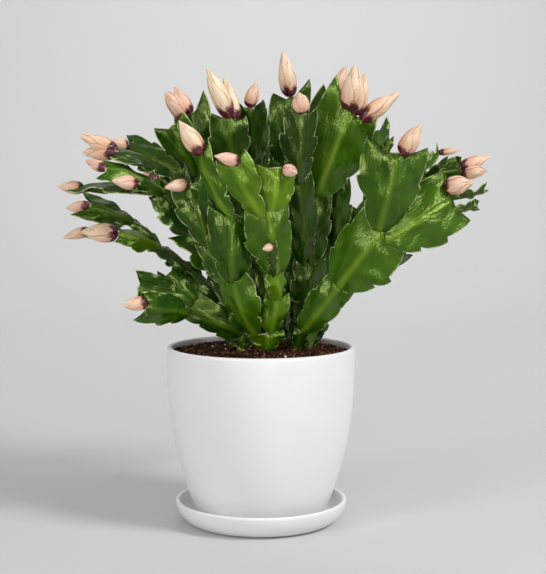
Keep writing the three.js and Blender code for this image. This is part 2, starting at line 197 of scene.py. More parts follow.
def carry(piece, name, values):
    """Writes three numbers a point under a name, for the finish to read."""
    attribute = piece.data.attributes.new(name, "FLOAT_VECTOR", "POINT")
    attribute.data.foreach_set("vector", np.asarray(values, float).ravel())


print("finishes that came with the frame:", len(bpy.data.materials))

# %% [markdown]
# ## Floor and backdrop
# The photo's floor runs into its background without a line, as on a long sheet of paper in a studio.
# A floor and a wall would meet in a horizon, so the sheet is one plane whose back edge is pulled on,
# in short steps round a quarter circle and then straight up.

# %% Floor and backdrop
FLOOR_FRONT = -2.2
FLOOR_BACK = 1.1
SHEET_WIDE = 7
WALL_TOP = 2.6
SWEEP = 0.8
SWEEP_STEPS = 12

bpy.ops.object.select_all(action="DESELECT")
bpy.ops.mesh.primitive_plane_add(size=1)
backdrop = bpy.context.object
backdrop.name = "backdrop"
backdrop.scale = (SHEET_WIDE, FLOOR_BACK - FLOOR_FRONT, 1)
backdrop.location = (0, (FLOOR_BACK + FLOOR_FRONT) / 2, 0)
put_at_origin(backdrop)
open_edit(backdrop, "DESELECT")
bpy.ops.object.mode_set(mode="OBJECT")
for corner in backdrop.data.vertices:
    corner.select = corner.co.y > FLOOR_BACK - 0.01
bpy.ops.object.mode_set(mode="EDIT")
for step in range(SWEEP_STEPS):
    first, second = (math.radians(90 * (step + k) / SWEEP_STEPS) for k in (0, 1))
    onward = SWEEP * (math.sin(second) - math.sin(first))
    upward = SWEEP * (math.cos(first) - math.cos(second))
    bpy.ops.mesh.extrude_region_move(TRANSFORM_OT_translate={"value": (0, onward, upward)})
bpy.ops.mesh.extrude_region_move(TRANSFORM_OT_translate={"value": (0, 0, WALL_TOP - SWEEP)})
close_edit()
bpy.ops.object.shade_smooth()
print("backdrop triangles:", triangles(backdrop))

# %% Backdrop paper
PAPER_GREY = 0.605
paper, tree, shader = new_finish("backdrop_paper")
feed(tree, shader, "Base Color", (PAPER_GREY, PAPER_GREY, PAPER_GREY, 1))
feed(tree, shader, "Roughness", 0.9)
feed(tree, shader, "Specular IOR Level", 0.0)
backdrop.data.materials.append(paper)
print("the paper reflects this share of the light:", PAPER_GREY)

# %% [markdown]
# ## Light
# The pot's grey tones and the soft shadow at the left show a large window high at the right, a weaker card
# at the left and a bright, even room. Four soft lamps and a plain pale world give that.
# The real pads are waxy and carry broad gleams from things that the photo doesn't show. Brighter lamps
# would give them too, but would wash the pot out, so three lamps light nothing and are seen in gloss alone.


# %% Light
MIDDLE = (0, 0, 0.16)
BUSH = (0, 0, 0.25)
ROOM_STRENGTH = 0.48


def soft_light(name, place, size, watts, target=MIDDLE, gloss_only=False):
    light = bpy.data.lights.new(name, "AREA")
    light.size = size
    light.energy = watts
    lamp = bpy.data.objects.new(name, light)
    lamp.location = place
    lamp.visible_camera = False
    lamp.visible_diffuse = not gloss_only
    aim = Vector(target) - Vector(place)
    lamp.rotation_euler = aim.to_track_quat("-Z", "Y").to_euler()
    bpy.context.scene.collection.objects.link(lamp)


soft_light("window", (1.12, -0.70, 1.28), 0.45, 18.4)
soft_light("card", (-1.25, -1.25, 0.8), 0.45, 7.2)
soft_light("front", (-0.25, -1.25, 0.34), 0.3, 1.8, BUSH)
soft_light("gleam_right", (0.95, -1.2, 0.55), 0.4, 12, BUSH, gloss_only=True)
soft_light("gleam_left", (-0.7, -1.3, 0.75), 0.3, 6, BUSH, gloss_only=True)
soft_light("gleam_low", (0.1, -0.8, 0.10), 0.12, 1.2, (0, 0, 0.28), gloss_only=True)
soft_light("back", (0, 1.0, 1.5), 0.9, 10, (0, 1.9, 0.5))

world = bpy.data.worlds.new("room")
world.use_nodes = True
room = world.node_tree.nodes["Background"]
feed(world.node_tree, room, "Color", (1, 1, 1, 1))
feed(world.node_tree, room, "Strength", ROOM_STRENGTH)
bpy.context.scene.world = world
print("lamps:", len(bpy.data.lights))

# %% [markdown]
# ## Saucer and pot
# Both are round and smooth, thrown or cast, with a soft satin glaze and a rounded lip.
# A spin of a drawn profile would make them; pulling one ring up and out again and again, as on a wheel,
# needs only extrude and scale and shows how the wall grows.
# The outlines repeat the frame's, and their corners are then cut round.

# %% Sizes of the saucer, the pot and the soil
# In millimetres, as in the frame; the rims and feet are radii.
SAUCER_RIM = 59.4
SAUCER_FOOT = 47.5
SAUCER_HEIGHT = 16
SAUCER_WALL = 3
SAUCER_FLOOR = 4
POT_RIM = 65
POT_FOOT = 43
POT_HEIGHT = 118
POT_WALL = 3.8
POT_FLOOR = 5
POT_DRAIN = 6
POT_LIP = 1.6
SOIL_BELOW_RIM = 4.6
SOIL_MOUND = 3.2
SOIL_LUMP = 0.8
# The power that keeps the pot's side upright at the rim and draws it in low down
POT_SWELL = 2.5
# The gap between pieces that stand in one another, and the radius of a ring that is merged into one point
CLEAR = 0.3
CLOSED = 0.01

POT_Z = SAUCER_FLOOR + CLEAR
RIM_Z = POT_Z + POT_HEIGHT
SOIL_Z = RIM_Z - SOIL_BELOW_RIM
SOIL_RADIUS = POT_RIM - POT_WALL - CLEAR
print("rim at", RIM_Z, "mm, soil at", round(SOIL_Z, 1), "mm")


# %% Pull a wall ring by ring
# Faces that meet at less than this many degrees are shaded as one smooth surface
SMOOTH_BELOW = 50


def rounded(outline, times=2):
    """Cuts the corners of an outline, again and again, until it is round."""
    points = [Vector(point) for point in outline]
    for _ in range(times):
        cut = [points[0]]
        for first, second in zip(points, points[1:]):
            cut += [first.lerp(second, 0.25), first.lerp(second, 0.75)]
        points = [*cut, points[-1]]
    return [tuple(point) for point in points]


def pulled(name, rings, sides):
    """Pulls one ring through the others, each a (radius, height), and closes what meets."""
    bpy.ops.object.select_all(action="DESELECT")
    radius, height = rings[0]
    bpy.ops.mesh.primitive_circle_add(vertices=sides, radius=radius * MM, location=(0, 0, height * MM))
    piece = bpy.context.object
    piece.name = name
    put_at_origin(piece)
    open_edit(piece)
    for next_radius, next_height in rings[1:]:
        rise = (0, 0, (next_height - height) * MM)
        bpy.ops.mesh.extrude_region_move(TRANSFORM_OT_translate={"value": rise})
        share = next_radius / radius
        bpy.ops.transform.resize(value=(share, share, 1), center_override=(0, 0, 0))
        radius, height = next_radius, next_height
    bpy.ops.mesh.select_all(action="SELECT")
    bpy.ops.mesh.remove_doubles(threshold=3 * CLOSED * MM)
    bpy.ops.mesh.normals_make_consistent(inside=False)
    close_edit()
    bpy.ops.object.shade_smooth_by_angle(angle=math.radians(SMOOTH_BELOW))
    return piece


print("an outline of 3 points, rounded twice, has", len(rounded([(0, 0), (1, 0), (1, 1)])), "points")


# %% Saucer
ROUND_SIDES = 144
saucer_outline = [
    (CLOSED, 0),
    (SAUCER_FOOT, 0),
    (SAUCER_FOOT + 4.2, 1.6),
    (SAUCER_RIM - 3.4, 5.8),
    (SAUCER_RIM - 0.8, 11),
    (SAUCER_RIM, SAUCER_HEIGHT - 1),
    (SAUCER_RIM - 0.7, SAUCER_HEIGHT),
    (SAUCER_RIM - SAUCER_WALL + 0.7, SAUCER_HEIGHT),
    (SAUCER_RIM - SAUCER_WALL, SAUCER_HEIGHT - 1),
    (SAUCER_RIM - SAUCER_WALL - 2.4, 9),
    (SAUCER_RIM - SAUCER_WALL - 6, 5.4),
    (SAUCER_FOOT - 1.6, SAUCER_FLOOR),
    (CLOSED, SAUCER_FLOOR),
]
saucer = pulled("saucer_glazed", rounded(saucer_outline), ROUND_SIDES)
print("saucer triangles:", triangles(saucer))


# %% Pot
def pot_radius(drop):
    """The outer radius at a share of the height below the rim."""
    return POT_RIM - (POT_RIM - POT_FOOT) * drop**POT_SWELL


def at_drop(drop, inward=0.0):
    """The outline's point there, as (radius, height), moved inwards by the wall or less."""
    return pot_radius(drop) - inward, RIM_Z - drop * POT_HEIGHT


# The outline goes once round the wall, and its two ends meet in the drain hole
outer_drops = [0.95, 0.9, 0.85, 0.79, 0.72, 0.64, 0.56, 0.46, 0.36, 0.26, 0.16, 0.08]
inner_drops = [0.03, 0.08, 0.16, 0.3, 0.45, 0.6, 0.72, 0.84]
pot_outline = [
    (POT_DRAIN, POT_Z + 1),
    (POT_DRAIN + 1, POT_Z),
    (POT_FOOT - 2.5, POT_Z),
    (POT_FOOT - 0.2, POT_Z + 2),
    *[at_drop(drop) for drop in outer_drops],
    (POT_RIM, RIM_Z - POT_LIP),
    (POT_RIM - 0.7, RIM_Z),
    (POT_RIM - POT_WALL + 0.7, RIM_Z),
    (POT_RIM - POT_WALL, RIM_Z - POT_LIP),
    *[at_drop(drop, POT_WALL) for drop in inner_drops],
    (POT_FOOT - POT_WALL - 2, POT_Z + POT_FLOOR),
    (POT_DRAIN + 1, POT_Z + POT_FLOOR),
    (POT_DRAIN, POT_Z + POT_FLOOR - 1),
    (POT_DRAIN, POT_Z + 1),
]
pot = pulled("pot_glazed", rounded(pot_outline), ROUND_SIDES)
print("pot triangles:", triangles(pot))

# %% [markdown]
# ### Satin white glaze
# The real glaze is plain white and even, with a soft sheen and no sharp reflections.
# A flat white would look like plastic, so the finish has three faint things that a fired glaze has:
# a slow change of tone with a few faint specks, a slight ripple, and a little more gloss in places.

# %% Glaze
glaze, tree, shader = new_finish("satin_white_glaze")
place = add_node(tree, "TexCoord").outputs["Object"]
tone = noise(tree, place, 14, 2)
white = ramp(tree, tone, [(0.35, 0.80, 0.80, 0.795), (0.65, 0.83, 0.83, 0.83)])
specks = noise(tree, place, 900, 1)
speck = spread(tree, specks, 0.72, 0.78, 0.0, 0.12)
feed(tree, shader, "Base Color", blend_colours(tree, speck, white, (0.5, 0.48, 0.44, 1)))
feed(tree, shader, "Roughness", spread(tree, noise(tree, place, 40, 3), 0.3, 0.7, 0.34, 0.46))
ripple = bump(tree, noise(tree, place, 60, 2), 0.2, 0.3)
feed(tree, shader, "Normal", bump(tree, noise(tree, place, 700, 2), 0.12, 0.05, ripple))
for piece, node_name in ((saucer, "saucer"), (pot, "pot")):
    piece.data.materials.append(glaze)
    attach(piece, "root")
    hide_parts(node_name)
print("glaze nodes:", len(tree.nodes))

# %% [markdown]
# ## The plant's layout
# The tables and formulas here are the frame's own, so every pad and bud lands on its solid.
# Each shoot stands on a foot in the soil, and its pads follow from it, each from the tip of another.
# A place is drawn on the upright plane through the pot's axis and then moved along the line of sight.

# %% Shoots
# A shoot: its foot on the soil, the way its pads face, and a row for each pad.
# A row: name, parent, the tip's place across, up and deep, width and turn about its length.
# Then come its place across the parent's tip, its lean, the depth of its teeth, how far its stalk end
# narrows to a wedge and the length of its horns, where they differ from PLAIN_PAD.
PLAIN_PAD = (0, 0, 1, 0.35, 1)
SHOOTS = {
    "front": ([5, -16], (0, -1, 0), [
        ("f0", "foot", 4, 131, -22, 26, 0, 0, 0, 0, 0.9, 0),
        ("f1", "f0", -19, 168, -40, 27, -28, -0.6, 0, 0.6, 0.9),
        ("f2", "f1", -20, 214, -46, 34, 0, -0.1, 0, 0.6, 0.6),
        ("f3", "f0", 11, 156, -30, 19, 10, 0.2, 0, 0.8), ("f4", "f3", 10, 173, -45, 15, 40),
        ("f5", "f4", 4, 216, -58, 32, 12, 0, 0.12, 0.6, 0.4, 1.2),
        ("f6", "f5", -20, 249, -74, 25, -14, -0.25, 0, 0.5, 1.3, 0.8),
        ("f7", "f5", 11.5, 245, -60, 29, 10, 0.15, 0, 0.3, 0.5, 0.3),
        ("f8", "f2", -41, 254, -52, 18, -40, 0, 0, 1.2, 0.3, 1), ("f9", "f1", -37, 193, -36, 17, 0, -0.5),
        ("f10", "f9", -50, 234, -38, 25, 15), ("f11", "f4", 8, 191, -60, 5, 0, -0.3),
    ]),
    "right": ([25, -12], (0, -1, 0), [
        ("r0", "foot", 28, 132, -20, 11, 0, 0, 0, 0, 0.35, 0),
        ("r1", "r0", 55, 165, -38, 22, 0, 0, 0, 0.6, 0),
        ("r2", "r1", 84, 202, -54, 45, -12, 0, -0.14, 0.6, 0.1),
        ("r3", "r2", 93, 255, -68, 46, 0, -0.1, 0, 0.5, 1, 0.9),
        ("r4", "r2", 131, 224, -48, 44, 0, 0.25, 0, 0.9, 0, 0.8), ("r5", "r4", 153, 230, -54, 8, 50, -0.1),
        ("r6", "r4", 148, 219, -46, 8, 40, 0.3), ("r7", "r3", 88, 265, -70, 5, 0, -0.3),
        ("r8", "r2", 79, 270, -19, 18, 10, -0.4, 0.08, 0.6, 0.3, 1.4),
    ]),
    "low": ([-13, -14], (0, -1, 0), [
        ("b0", "foot", -12, 131, -17, 10, 0, 0, 0, 0, 0.35, 0), ("b1", "b0", -50, 151, -32, 22, -10),
        ("b2", "b1", -64, 172, -32, 22, 15, 0.5, 0, 0.8, 0),
        ("b3", "b1", -85, 162, -42, 28, 20, 0.3, 0.05, 1.3, 0.3, 0.6),
        ("b4", "b1", -80, 149, -62, 23, 0, -0.4, 0, 0.6),
    ]),
    "left": ([-16, -4], (0, -1, 0.2), [
        ("a0", "foot", -13, 138, -6, 13, 20), ("a1", "a0", -27, 168, -17, 24, 55),
        ("a2", "a1", -54, 200, -22, 26, 58), ("a3", "a2", -69, 228, -30, 28, 55),
        ("a4", "a3", -106, 244, -46, 21, 45, 0.2), ("a7", "a3", -121, 231, -12, 20, 78, -0.3),
        ("a9", "a3", -84, 234, -56, 7, 10), ("a10", "a2", -59, 241, -12, 22, 10, 0.4),
        ("a5", "a10", -98, 256, -32, 22, 70, -0.3), ("a6", "a10", -91, 259, 2, 23, 10, 0.4, 0, 1, 0.8, 2),
    ]),
    "side": ([-20, 7], (0, -1, 0.2), [
        ("c0", "foot", -26, 146, 12, 13, 20), ("c1", "c0", -50, 175, 14, 24, 60),
        ("c2", "c1", -71, 190, 12, 22, 60), ("c3", "c2", -98, 200, -6, 15, 35, 0, 0, 0.5, 0.35, 0.3),
        ("c4", "c2", -89, 208, 22, 8, 30, 0.3), ("c5", "c4", -117, 219, 8, 21, 15, 0, -0.05, 0.2, 1.5, 2.2),
        ("c6", "c4", -117, 202, 40, 16, 60, -0.3),
    ]),
    "mid": ([-7, 4], (0, -1, 0), [
        ("u0", "foot", -10, 145, 6, 14, 0), ("u1", "u0", -20, 190, 5, 26, 15),
        ("u2", "u1", -25, 242, -20, 28, 0, 0.1), ("u3", "u2", -21, 279, -36, 28, 12, 0.1, 0, 0.6, 0.2, 0.4),
        ("u4", "u1", -42, 244, 8, 26, 0, -0.4), ("u5", "u4", -61, 273, -6, 28, 0, -0.3),
        ("u7", "u4", -47, 282, 2, 28, 0, 0.3, 0.16, 0.6, 0.3, 1.5),
    ]),
    "crown": ([4, 9], (0, -1, 0), [
        ("s0", "foot", 4, 150, 10, 14, 0), ("s1", "s0", -1, 197, 15, 26, 5),
        ("s2", "s1", -3, 244, 2, 27, 0), ("s3", "s2", -8, 286, -24, 24, 10, -0.2, 0, 0.6, 0.3, 0.8),
        ("s4", "s2", 3, 276, -2, 16, 60, 0.3),
    ]),
    "crest": ([13, 19], (0, -1, 0), [
        ("k0", "foot", 15, 152, 20, 14, 20), ("k1", "k0", 16, 199, 24, 25, -20),
        ("k2", "k1", 16, 248, 19, 26, 20), ("k3", "k2", 20, 293, 14, 30, 10, 0, 0.12, 0.6, 0.2, 1.4),
        ("k4", "k2", 49, 292, 24, 24, 0, 0.3),
    ]),
    "top": ([24, 5], (0, -1, 0), [
        ("t0", "foot", 29, 142, 2, 14, 20), ("t1", "t0", 34, 181, -7, 25, 20),
        ("t2", "t1", 38, 229, -18, 23, -10, 0.1, 0, 0.6),
        ("t3", "t2", 61, 284, -40, 42, 0, 0, -0.16, 0.5, 0.2, 1.1),
        ("t4", "t1", 26, 238, -38, 20, 10, -0.4),
        ("t5", "t4", 28, 283, -52, 24, 10, -0.2, 0, 1.2, 0.4, 0.8),
    ]),
    "rear": ([36, 9], (0, -1, 0.2), [
        ("q0", "foot", 43, 148, 13, 14, 20), ("q1", "q0", 52, 192, 10, 26, 25),
        ("q2", "q1", 84, 219, 10, 26, 20, 0.3), ("q3", "q2", 114, 242, 4, 27, 20),
        ("q4", "q3", 137, 243, -8, 21, 20, 0.2), ("q5", "q3", 121, 255, 16, 12, 70, -0.3),
        ("q6", "q1", 53, 234, -8, 19, 0, -0.1),
    ]),
    "flank": ([33, -3], (0, -1, 0.3), [
        ("p0", "foot", 38, 140, 0, 14, 20), ("p1", "p0", 59, 168, 4, 17, 20),
        ("p2", "p1", 99, 188, 14, 18, 40, 0.2), ("p3", "p1", 90, 202, -6, 17, 20, -0.3),
    ]),
    "backLeft": ([-16, 20], (-0.5, 1, 0.4), [
        ("g0", "foot", -22, 145, 28, 14, 10), ("g1", "g0", -34, 180, 48, 27, 25),
        ("g2", "g1", -44, 209, 68, 27, 40, -0.2), ("g3", "g2", -72, 237, 86, 24, 20, -0.5),
        ("g4", "g2", -48, 250, 84, 26, -30, 0.5), ("g5", "g1", -28, 226, 40, 27, -40, 0.3),
        ("g6", "g5", -40, 268, 48, 27, -25),
    ]),
    "backMid": ([-3, 27], (-0.1, 1, 0.3), [
        ("h0", "foot", -4, 150, 39, 14, 0), ("h1", "h0", -8, 194, 57, 27, -25),
        ("h2", "h1", -18, 235, 80, 30, 15, -0.2), ("h3", "h2", -33, 262, 110, 28, 35, -0.3),
        ("h4", "h2", -2, 268, 92, 29, -35, 0.3), ("h5", "h1", 8, 236, 56, 27, 30, 0.3),
        ("h6", "h5", 6, 278, 60, 27, 45),
    ]),
    "backRight": ([20, 26], (0.4, 1, 0.3), [
        ("m0", "foot", 26, 147, 36, 14, 0), ("m1", "m0", 38, 186, 54, 28, 25),
        ("m2", "m1", 58, 206, 84, 28, -30, 0.4), ("m3", "m2", 92, 215, 88, 26, 20, 0.2),
        ("m5", "m1", 34, 232, 62, 27, 35, -0.3), ("m4", "m5", 48, 258, 90, 28, -30, 0.2),
    ]),
    "backLow": ([7, 36], (0.1, 1, 0.8), [
        ("n0", "foot", 9, 137, 52, 14, 0), ("n1", "n0", 15, 152, 84, 27, 10),
        ("n2", "n1", 34, 158, 118, 26, 25, 0.6), ("n3", "n1", -6, 176, 100, 25, -25, -0.6),
    ]),
}
print("rows in each shoot:", [len(rows) for _, _, rows in SHOOTS.values()])

# %% Buds
# A row: the pad, then for each bud its place across the pad's tip, its own point across, up and deep,
# and its thickness.
BUDS = [
    ("a7", (0, -139, 232, -14, 9)), ("c5", (0, -134, 217, 14, 8)), ("c6", (0, -136, 197, 40, 8)),
    ("c3", (0, -124, 201, -10, 13)), ("a5", (0.2, -124, 267, -30, 10), (-0.2, -122, 255, -20, 10)),
    ("a4", (0, -120, 250, -38, 7)), ("a6", (0, -103, 263, -6, 9)), ("a9", (0, -102, 236, -62, 9)),
    ("f10", (0, -66, 231, -54, 8)), ("u7", (-0.4, -65, 297, -6, 11), (-0.1, -59, 300, 4, 10)),
    ("u3", (0, -37, 313, -46, 12), (0.3, -25, 306, -32, 10)), ("s3", (0, -3, 303, -30, 9)),
    ("f8", (0.1, -56, 277, -56, 12)), ("f6", (0.4, -32, 253, -84, 8)), ("k3", (0, 15, 324, 7, 12)),
    ("t5", (0, 26, 296, -62, 11)), ("f7", (0.3, 25, 241, -70, 8)), ("k4", (0, 58, 314, 20, 10)),
    ("t3", (0, 64, 315, -54, 14), (0.2, 71, 309, -44, 11)), ("t3", (0.4, 95, 296, -36, 11)),
    ("r3", (0.15, 109, 274, -78, 12)), ("q4", (-0.2, 157, 253, -8, 9), (0.2, 155, 243, -14, 9)),
    ("q5", (0, 137, 257, 18, 5)), ("r4", (-0.4, 146, 235, -60, 12)), ("b4", (0.3, -96, 150, -66, 9)),
    ("g3", (0, -80, 241, 106, 10)), ("g4", (0, -54, 270, 102, 11)), ("h3", (0, -37, 282, 126, 11)),
    ("h4", (0, 1, 286, 112, 12)), ("m3", (0, 108, 219, 104, 11)), ("m4", (0, 52, 280, 106, 11)),
    ("n2", (0, 44, 158, 138, 11)), ("n3", (0, -10, 186, 124, 11)), ("f11", (0, 1, 189, -66, 5)),
]
print(sum(len(buds) for _, *buds in BUDS), "buds in", len(BUDS), "nodes")

# %% Margins and places
# The margin's corners from stalk to tip: how far along, how far out, how much narrower with the teeth
# and with a wedge, and how much further on with the horn.
MARGIN = np.array([
    [0, 0.13, 0, 0, 0],
    [0.31, 0.86, 0, 0.26, 0],
    [0.36, 0.86, 0.12, 0.25, 0],
    [0.62, 1, 0, 0.08, 0],
    [0.67, 0.98, 0.13, 0.06, 0],
    [1, 0.82, 0, 0, 0.11],
    [0.97, 0.42, 0, 0, 0],
])
# A pad's teeth are shifted along and pulled out or in by up to these shares, so no two margins are alike
TOOTH_SHIFT = 0.03
TOOTH_REACH = 0.08
# How far a pad arches along its length and cups across its width, and how far one sinks into its parent,
# as shares of its length, of half its width and of the parent's length
ARCH = 0.07
CUP = 0.16
SUNK = 0.06


def seen(across, up, depth):
    """The point at a depth that the eye sees at this place on the plane through the pot's axis."""
    reach = (depth - EYE.y) / -EYE.y
    return Vector((EYE.x + (across - EYE.x) * reach, depth, EYE.z + (up - EYE.z) * reach))


def margin_of(number, cut, hand):
    """The corners of one margin as (share of length, share of half the width)."""
    teeth, wedge, horn = cut
    tooth = (np.arange(len(MARGIN)) + 1) // 2
    shift = TOOTH_SHIFT * np.sin(1.7 * number + 2.3 * tooth + hand)
    shift[0] = 0
    reach = 1 + TOOTH_REACH * np.sin(2.4 * number + 1.9 * tooth + 2 * hand)
    t = MARGIN[:, 0] + shift + horn * MARGIN[:, 4]
    u = hand * (MARGIN[:, 1] - teeth * MARGIN[:, 2] - wedge * MARGIN[:, 3]) * reach
    return np.stack([t, u], 1)


print("corners on one margin:", len(MARGIN))


# %% Pads in space
class Pad:
    """One joint of the stem: where it starts, its own three directions and its size."""

    def __init__(self, number, base, tip, width, turn, outward, lean, cut):
        self.number, self.base, self.lean, self.cut = number, np.array(base), lean, cut
        along = tip - base
        self.length, self.half = along.length, width / 2
        along.normalize()
        face = (outward - outward.dot(along) * along).normalized()
        angle = math.radians(turn)
        face = face * math.cos(angle) + along.cross(face) * math.sin(angle)
        self.mirrored = outward.y > 0
        across = along.cross(face) * (-1 if self.mirrored else 1)
        self.along, self.across, self.face = np.array(along), np.array(across), np.array(face)

    def at(self, t, u, rise=0.0):
        """Points on the pad's middle skin, for arrays of t and u, raised from it by millimetres."""
        t, u, rise = np.broadcast_arrays(np.asarray(t, float), u, rise)
        rise = rise + ARCH * self.length * 4 * t * (1 - t) - CUP * self.half * u**2
        run = (t + self.lean * u * t) * self.length
        sideways = u * self.half
        directions = np.stack([self.along, self.across, self.face])
        return self.base + np.stack([run, sideways, rise], -1) @ directions

    def tip_place(self, place):
        """A place on the cut-off tip, between its middle and the corner next to the horn."""
        t, u = margin_of(self.number, self.cut, math.copysign(1, place) if place else 1)[-1]
        share = min(1, place / u)
        return Vector(self.at(1 + (t - 1) * share, share * u))


pads = {}
shoots = {}
for shoot, (foot, faces, rows) in SHOOTS.items():
    shoots[shoot] = []
    for name, parent, across, up, depth, width, turn, *rest in rows:
        place, lean, *cut = (*rest, *PLAIN_PAD[len(rest):])
        if parent == "foot":
            base = Vector((*foot, SOIL_Z + SOIL_MOUND + 1))
        else:
            base = Vector(pads[parent].at(1 - SUNK, place))
        pads[name] = Pad(len(pads), base, seen(across, up, depth), width, turn, Vector(faces), lean, cut)
        shoots[shoot].append(name)
print(len(pads), "pads on", len(shoots), "shoots")

# %% [markdown]
# ## Soil
# A dark, crumbly peat mix heaves up a little round the stems, with a few white grains of perlite in it.
# A bumpy picture on a flat disc shows no grains at the edge, so here each crumb is a small lump of its own.
# The bed is pulled like the pot, given the frame's low mounds and roughened by a displace modifier.
# One rough crumb is modelled, and its copies are turned, stretched and strewn over it by a seeded draw.


# %% Soil bed
def soil_height(x, y):
    """The frame's mound and lumps, in millimetres."""
    out = np.hypot(x, y) / SOIL_RADIUS
    lump = np.sin(0.31 * x + 1.3) * np.cos(0.27 * y - 0.11 * x) + 0.6 * np.sin(0.52 * y + 0.4 * x)
    return SOIL_Z + SOIL_MOUND * (1 - out**2) + SOIL_LUMP * lump * np.clip(4 * (1 - out), 0, 1)


SOIL_TOP_RINGS = 28
SOIL_SIDES = 108
SOIL_EDGE = SOIL_RADIUS - 0.3
soil_bottom = POT_Z + POT_FLOOR + CLEAR
top_radii = np.linspace(SOIL_EDGE, 0, SOIL_TOP_RINGS + 1)[1:]
soil_rings = [
    (CLOSED, soil_bottom),
    (POT_FOOT - POT_WALL - 2.6, soil_bottom),
    *[at_drop(drop, POT_WALL + 1.6 * CLEAR) for drop in (0.84, 0.72, 0.6, 0.45, 0.3, 0.16)],
    (SOIL_EDGE, SOIL_Z),
    *[(max(radius, CLOSED), SOIL_Z) for radius in top_radii],
]
soil = pulled("soil_bed", soil_rings, SOIL_SIDES)
places = points_of(soil) / MM
on_top = places[:, 2] > SOIL_Z - 0.01
places[on_top, 2] = soil_height(places[on_top, 0], places[on_top, 1])
move_points(soil, places * MM)
print("soil bed rings:", len(soil_rings), "and points on top:", int(on_top.sum()))

# %% Rough top
# In millimetres, and the bed's tone, near the dark end of the crumbs' tones: painted shade in the gaps
# between the crumbs
ROUGH_RADIUS = 59
GRIT_SIZE = 3
GRIT_RISE = 2.4
BED_SHADE_TONE = 0.05

loose = on_top & (np.hypot(places[:, 0], places[:, 1]) < ROUGH_RADIUS)
group = soil.vertex_groups.new(name="top")
group.add(np.flatnonzero(loose).tolist(), 1, "REPLACE")
grit = bpy.data.textures.new("grit", "CLOUDS")
grit.noise_scale = GRIT_SIZE * MM
grit.noise_depth = 3
rough = soil.modifiers.new("rough", "DISPLACE")
rough.texture = grit
rough.texture_coords = "LOCAL"
rough.vertex_group = "top"
rough.strength = GRIT_RISE * MM
rough.mid_level = 0.6
select_only(soil)
bpy.ops.object.modifier_apply(modifier="rough")
# The bed's near-black tone is painted shade in the gaps between the crumbs.
carry(soil, "tone", np.tile([BED_SHADE_TONE, 0, 0], (len(places), 1)))
print("soil bed triangles:", triangles(soil))

# %% One crumb
bpy.ops.object.select_all(action="DESELECT")
bpy.ops.mesh.primitive_cube_add(size=1.2 * MM)
crumb = bpy.context.object
crumb.name = "crumb"
open_edit(crumb)
bpy.ops.mesh.subdivide(number_cuts=1, smoothness=1, fractal=0.9, seed=4)
close_edit()
print("crumb triangles:", triangles(crumb))

# %% Crumbs and perlite, strewn
# Three of the perlite grains lie where the photo shows them.
# A crumb's size is half its length in millimetres: the least, and how much more it may be.
CRUMBS = 2700
CRUMB_LEAST = 0.5
CRUMB_MORE = 1.35
PERLITE = 8
SEEN_PERLITE = [(-7, -3), (-24, -15), (20, -30)]
FEET = [foot for foot, _, _ in SHOOTS.values()]
STEM_CLEAR = 3.2


def scattered(draw, count, edge):
    """Places on the bed, even over its area and clear of the stems."""
    found = []
    while len(found) < count:
        x, y = draw.uniform(-edge, edge, 2)
        if math.hypot(x, y) < edge and all(math.hypot(x - a, y - b) > STEM_CLEAR for a, b in FEET):
            found.append((x, y))
    return np.array(found)


def strewn(name, draw, spots, sizes, stretch, above):
    """Copies of the crumb, each turned, stretched and laid on the bed."""
    shape = points_of(crumb)
    shape = shape / np.abs(shape).max()
    corners = np.array([list(face.vertices) for face in crumb.data.polygons])
    points, faces, tones = [], [], []
    for (x, y), size in zip(spots, sizes):
        spin = np.linalg.qr(draw.normal(size=(3, 3)))[0]
        if np.linalg.det(spin) < 0:
            spin[:, 0] *= -1
        sides = size * draw.uniform(*stretch, 3)
        lump = (shape * sides) @ spin.T
        faces.append(corners + len(shape) * len(points))
        points.append(lump + [x, y, soil_height(x, y) + above * size])
        tones.append(np.tile([*draw.uniform(size=2), 0], (len(shape), 1)))
    mesh = bpy.data.meshes.new(name)
    mesh.from_pydata((np.concatenate(points) * MM).tolist(), [], np.concatenate(faces).tolist())
    mesh.shade_smooth()
    piece = bpy.data.objects.new(name, mesh)
    bpy.context.scene.collection.objects.link(piece)
    carry(piece, "tone", np.concatenate(tones))
    return piece


draw = np.random.default_rng(11)
spots = scattered(draw, CRUMBS, SOIL_RADIUS - 0.8)
sizes = CRUMB_LEAST + CRUMB_MORE * draw.beta(1.5, 4, CRUMBS)
crumbs = strewn("soil_crumbs", draw, spots, sizes, (0.6, 1.2), 0.35)
white_spots = np.concatenate([SEEN_PERLITE, scattered(draw, PERLITE - len(SEEN_PERLITE), 55)])
white_sizes = draw.uniform(0.7, 0.95, PERLITE)
perlite = strewn("soil_perlite", draw, white_spots, white_sizes, (0.8, 1.1), 1.5)
bpy.data.objects.remove(crumb)
print("crumb triangles in all:", triangles(crumbs), "perlite:", triangles(perlite))

# %% [markdown]
# ### Peat and perlite
# Moist peat is a dark red-brown that changes from crumb to crumb, and perlite is a white foam of rock.
# One brown for all would run together into a smooth mass. So each crumb carries a tone of its own, drawn
# when it was strewn, a fine grain is added to it, and the bed between the crumbs is nearly black: painted
# shade in the gaps.

# %% Peat
peat, tree, shader = new_finish("moist_peat")
place = add_node(tree, "TexCoord").outputs["Object"]
_, (crumb_tone, _, _) = three_marks(tree, "tone")
grain = noise(tree, place, 900, 4)
shade = arithmetic(tree, "ADD", product(tree, crumb_tone, 0.6), product(tree, grain, 0.5))
BROWNS = [
    (0.28, 0.008, 0.003, 0.002),
    (0.55, 0.046, 0.016, 0.007),
    (0.80, 0.150, 0.058, 0.026),
    (1.00, 0.340, 0.160, 0.080),
]
feed(tree, shader, "Base Color", ramp(tree, shade, BROWNS))
feed(tree, shader, "Roughness", 0.82)
feed(tree, shader, "Specular IOR Level", 0.12)
feed(tree, shader, "Normal", bump(tree, noise(tree, place, 2200, 4), 0.7, 0.25))
print("peat nodes:", len(tree.nodes))

